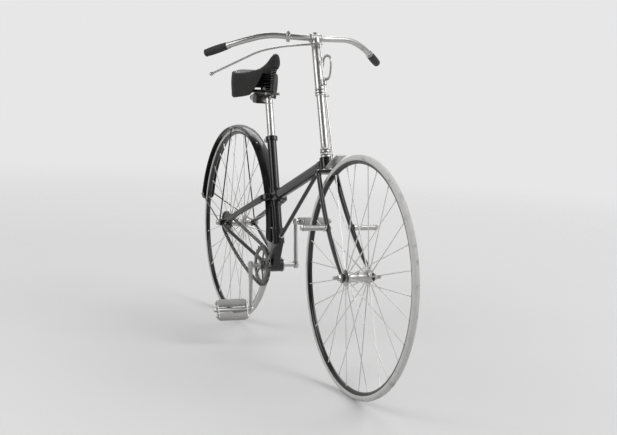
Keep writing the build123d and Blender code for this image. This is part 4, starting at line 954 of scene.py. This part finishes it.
shape = Shape()
for angle in guard["stayAngles"]:
    for way in (-leftward, leftward):
        edge = rearAxle + outward(angle, guard["inside"] - guard["drop"] - 3.0) + way * (guard["half"] + 0.6)
        shape.turn(edge, way, [(-3.4, 5.2), (-2.8, 5.8), (-0.8, 5.8), (-0.2, 5.0)], 20)
        shape.nut(edge - way * 0.4, way, 4.6, 5.0)
for angle in guard["rivetAngles"]:
    for left in guard["rivetLeft"]:
        spot = rearAxle + outward(angle, guard["inside"] + guard["thick"] - 1.2) + leftward * left
        shape.turn(spot, outward(angle), [(0, 3.2), (0.5, 3.2)] + domed(3.2, 1.2, 0.5), 14)
shape.made("guardRivets", "frame", "nickel")


# Saddle. Points from the rear to the nose give its top line, half widths and lower edge.
saddle = dict(rear=72.0, nose=322.0, top=((72, 992), (170, 985), (322, 1058)), wall=4.2, crown=7.0,
              noseCrown=11.0, noseRound=22.0, rearRound=26.0, steps=160, topRows=15, skirtRows=12,
              halves=((72, 82), (120, 91), (172, 72), (234, 35), (280, 25), (322, 21.5)),
              edge=((72, 926), (80, 904), (94, 886), (126, 881), (170, 888), (204, 896), (222, 926),
                    (240, 958), (268, 993), (322, 1004)))


def smoothed(ahead, points, span):
    # straight lines between the points, smoothed by a raised cosine that reaches span samples to each side
    keys, values = np.array(points, float).T
    fine = np.linspace(keys[0], keys[-1], 400)
    kernel = np.hanning(2 * span + 1)
    padded = np.pad(np.interp(fine, keys, values), span, mode="edge")
    return np.interp(ahead, fine, np.convolve(padded, kernel / kernel.sum(), "valid"))


def saddleTopUp(ahead):
    # the parabola through the saddle's rear, its dip and its nose
    (x1, z1), (x2, z2), (x3, z3) = saddle["top"]
    bend = ((z3 - z1) / (x3 - x1) - (z2 - z1) / (x2 - x1)) / (x3 - x2)
    return z1 + (z2 - z1) * (ahead - x1) / (x2 - x1) + bend * (ahead - x1) * (ahead - x2)


def saddleHalf(ahead):
    # the smoothed half width, times a quarter circle at the nose and a fuller curve at the rear
    intoNose = np.clip((ahead - saddle["nose"]) / saddle["noseRound"] + 1, 0, 1)
    intoRear = np.clip((saddle["rear"] - ahead) / saddle["rearRound"] + 1, 0, 1)
    full = np.sqrt(1 - intoNose ** 2) * (0.42 + 0.58 * np.sqrt(1 - intoRear ** 2.6))
    return smoothed(ahead, saddle["halves"], 30) * full


def saddleRows():
    # from the spine out to the outline over a crowned top, then down the skirts, bulging a little
    turn = np.linspace(0, np.pi, saddle["steps"] // 2 + 1)
    middle, reach = (saddle["nose"] + saddle["rear"]) / 2, (saddle["nose"] - saddle["rear"]) / 2
    ahead = middle + reach * np.cos(turn)
    ahead = np.concatenate([ahead, ahead[-2:0:-1]])
    sign = np.concatenate([np.ones(len(turn)), -np.ones(len(turn) - 2)])
    left = saddleHalf(ahead) * sign
    left[[0, len(turn) - 1]] = 0.0
    # the rear wall runs straight across between the two rounded corners
    spine = np.clip(ahead, saddle["rear"] + 40, saddle["nose"] - 30)
    rows = []
    for share in np.linspace(0, 1, saddle["topRows"]):
        x, y = spine + (ahead - spine) * share, left * share
        wide = saddleHalf(np.clip(x, saddle["rear"] + 30, saddle["nose"] - 26)) + 1
        # the nose is rounded like a roll, the seat nearly flat with a furrow along its middle
        crown = saddle["crown"] + saddle["noseCrown"] * np.clip((x - 200.0) / 100.0, 0, 1)
        drop = crown * np.abs(y / wide) ** 2.2 + 5.0 * share ** 9
        furrow = 1.4 * np.exp(-(y / 7.0) ** 2) * np.exp(-((x - 165.0) / 60.0) ** 2)
        rows.append(np.stack([x, y, saddleTopUp(x) - drop - furrow], -1))
    high, low = rows[-1][:, 2], smoothed(ahead, saddle["edge"], 20)
    out = unit(np.stack([ahead - spine + 1e-6, left], -1))
    for share in np.linspace(0, 1, saddle["skirtRows"] + 1)[1:]:
        flare = 1.8 * np.sin(np.pi * min(1.0, share * 1.25)) - 3.2 * share ** 2
        wave = 1.3 * share * np.sin(ahead * 0.11 + sign) * np.clip((high - low) / 60.0, 0, 1)
        x, y = (np.stack([ahead, left], -1) + (flare + wave)[:, None] * out).T
        rows.append(np.stack([x, y, high + (low - high) * share], -1))
    return np.array(rows) - (stance["seatAhead"], 0, stance["seatUp"])


rows = saddleRows()
shape = Shape().add(rows, ends=False)
hide = shape.made("saddleHide", "frame", "saddle_leather", "saddle", 180, merge=0.00002)
wall = hide.modifiers.new("thickness", "SOLIDIFY")
wall.thickness = saddle["wall"] * 0.001
wall.offset = -1
wall.use_even_offset = True

# rivets round the cantle, square to the hide, and at the nose
shape = Shape()
for column in (-26, -20, -14, 14, 20, 26):
    column += saddle["steps"] // 2
    point, beside = rows[saddle["topRows"] - 3, column:column + 2]
    normal = unit(np.cross(rows[saddle["topRows"] - 2, column] - point, beside - point))
    normal = normal * np.sign(normal[2])
    shape.turn(point - normal * 0.6, normal, [(0, 4.6), (0.9, 4.6)] + domed(4.4, 1.5, 1.0), 18)
for column in (-5, 0, 5):
    point, out = rows[saddle["topRows"] - 2, column], unit([0.8, 0.25 * np.sign(column), 0.6])
    shape.turn(point - out * 0.8, out, [(0, 3.4), (0.9, 3.4)] + domed(3.2, 1.2, 1.0), 16)
shape.made("saddleRivets", "frame", "nickel")

# each coil: distance ahead, to the left, radius, top, turns and wire
springs = dict(foot=912.8, flatten=0.055, steps=26, coils=((102, -62, 15.3, 977.0, 6.2, 2.4),
                                                           (102, 62, 15.3, 977.0, 6.2, 2.4),
                                                           (303, 0, 8.2, 1029.0, 16.0, 1.7)))
shape = Shape()
for ahead, left, radius, top, turns, wire in springs["coils"]:
    # a helix whose ends lie flat: the rise follows a smooth step
    share = np.linspace(0, 1, int(turns * springs["steps"]))[:, None]
    tall = top - springs["foot"] - 2 * wire
    angle = share * turns * 2 * np.pi
    radial = np.hstack([np.cos(angle), np.sin(angle), np.zeros_like(angle)])
    foot = place(ahead, left, springs["foot"])
    rise = wire + (share - springs["flatten"] * np.sin(2 * np.pi * share)) * tall
    shape.add(carried(foot + radial * radius + upward * rise, radial, wire, wire, 9))
    for up in (springs["foot"] - 0.2, top - 1.6):
        shape.turn(place(ahead, left, up), upward, rounded(1.8, radius + wire, 0.5), 28)
    shape.turn(foot, upward, rounded(12, radius * 0.45, 1.0), 18)
shape.made("saddleSprings", "frame", "spring_steel", "saddle_springs", 50)

# each nut: distance ahead, to the left and up, its way up or down, radius and height
seat = dict(nuts=((102, -62, 903.4, -1, 6.4, 6.0), (102, 62, 903.4, -1, 6.4, 6.0),
                  (303, 0, 903.4, -1, 5.6, 5.0), (200, 5, 917.9, 1, 8.4, 8.4)),
            ends=((102, [(75, 4.5), (76.6, 5.6), (79.4, 5.6), (80.2, 4.2)]),
                  (303, [(24, 4.4), (25.0, 5.4), (27.6, 5.4), (28.4, 4.0)])), endUp=908.0,
            pillar=[(164.4, 11.0), (165.2, 12.0), (168.4, 12.0), (168.8, 11.4)], beadDown=16.0, bead=15.2)
shape = Shape()
for ahead, left, up, way, radius, height in seat["nuts"]:
    shape.nut(place(ahead, left, up), upward * way, radius, height)
for ahead, profile in seat["ends"]:
    for way in (-leftward, leftward):
        shape.turn(place(ahead, 0, seat["endUp"]), way, profile, 20)
shape.turn(pillarTop, (-1, 0, 0), seat["pillar"] + domed(11.4, 4.2, 168.8), 32)
shape.bead(pillarTop - tubeRun * seat["beadDown"], tubeRun, seat["bead"], 4.4)
shape.made("saddleFittings", "frame", "nickel")
print("frame and saddle made")


# Stage: paper floor, pale world, three lamps and the camera; spots are in metres from the seat point
studio = dict(floorHalf=14.0, middle=0.35, fadeFrom=2.2, fadeTo=6.5, pale=0.80, worldLight=0.92,
              floorTone=0.54, farPaintedLightTone=0.66)
lamps = dict(
    keyLamp=dict(spot=(2.4, 3.2, 2.4), target=(0.4, 0, -0.4), size=(2.6, 2.6), power=95),
    fillLamp=dict(spot=(0.6, -3.6, 1.6), target=(0.3, 0, -0.4), size=(3.0, 2.2), power=70),
    backLamp=dict(spot=(-2.6, 1.4, 2.6), target=(0.3, 0, -0.3), size=(2.6, 2.0), power=40),
)
# the camera stands where the photograph's did beside the bicycle, turned to the bicycle's middle
cameraPlace = dict(spot=(3.9013, -1.5124, 0.0569), turn=(81.779, -3.297, 66.358), lens=64.0, sensor=36.0)


def addHolder(name, data, spot, turn=(0, 0, 0)):
    holder = bpy.data.objects.new(name, data)
    bpy.context.scene.collection.objects.link(holder)
    holder.location = spot
    holder.rotation_euler = turn
    return holder


def addLamp(name, spot, target, size, power):
    lamp = bpy.data.lights.new(name, "AREA")
    lamp.shape = "RECTANGLE"
    lamp.size, lamp.size_y = size
    lamp.energy = power
    addHolder(name, lamp, spot, (Vector(target) - Vector(spot)).to_track_quat("-Z", "Y").to_euler())


def setFloor():
    # paper that fades with distance into the pale background
    half, up = studio["floorHalf"], -stance["seatUp"] * 0.001
    corners = [(-half, -half, up), (half, -half, up), (half, half, up), (-half, half, up)]
    mesh = bpy.data.meshes.new("studioFloor")
    mesh.from_pydata(corners, [], [(0, 1, 2, 3)])
    finish = Finish("floorPaper", {"Specular IOR Level": 0.1})
    x, y = finish.axes()[:2]
    far = ((x - studio["middle"]) * (x - studio["middle"]) + y * y) ** 0.5
    near = finish.mix(finish.noise(1.4, 3), grey(studio["floorTone"]), grey(studio["floorTone"] + 0.02))
    alpha = (1 - far.over(studio["fadeFrom"], studio["fadeTo"])) ** 1.5
    join(finish.tree, alpha, finish.shader.inputs["Alpha"])
    # painted light: the paper's colour turns paler away from the middle, making up for the lamps' light
    # falling off with distance
    mesh.materials.append(finish.done(finish.mix(far.over(0.6, 4.5), near, grey(studio["farPaintedLightTone"])), 0.95))
    floor = addHolder("studioFloor", mesh, (0, 0, 0))


def setWorld():
    # seen directly it is plain and pale; metal sees three pale panels, behind, ahead and to the left
    world = bpy.data.worlds.new("studioWorld")
    bpy.context.scene.world = world
    world.use_nodes = True
    tree = world.node_tree
    plain = tree.nodes["Background"]
    plain.inputs["Color"].default_value = grey(studio["pale"])
    plain.inputs["Strength"].default_value = 1.0
    soft, panels = [tree.nodes.new("ShaderNodeBackground") for k in range(2)]
    soft.inputs["Strength"].default_value = studio["worldLight"]
    parts = tree.nodes.new("ShaderNodeSeparateXYZ")
    join(tree, tree.nodes.new("ShaderNodeTexCoord").outputs["Generated"], parts.inputs[0])
    ahead, left, up = [Amount(tree, socket) for socket in parts.outputs]
    lit = left.over(-0.15, 0.40) + (0 - ahead).over(0.45, 0.80) + ahead.over(0.80, 0.92)
    join(tree, lit.clip() * (up.over(-0.3, 0.4) * 0.34 + 0.44) + 0.05, panels.inputs["Strength"])
    seen = tree.nodes.new("ShaderNodeLightPath").outputs
    result = soft
    for ray, shown in (("Is Glossy Ray", panels), ("Is Camera Ray", plain)):
        mixed = tree.nodes.new("ShaderNodeMixShader")
        for socket, value in zip(mixed.inputs, (seen[ray], result.outputs[0], shown.outputs[0])):
            join(tree, value, socket)
        result = mixed
    join(tree, result.outputs[0], tree.nodes["World Output"].inputs["Surface"])


def setCamera():
    camera = bpy.data.cameras.new("camera")
    camera.lens = cameraPlace["lens"]
    camera.sensor_width = cameraPlace["sensor"]
    turn = [math.radians(angle) for angle in cameraPlace["turn"]]
    bpy.context.scene.camera = addHolder("camera", camera, cameraPlace["spot"], turn)


bpy.context.scene.view_settings.view_transform = "Standard"
setFloor()
setWorld()
for name, lamp in lamps.items():
    addLamp(name, **lamp)
setCamera()
print("stage set")
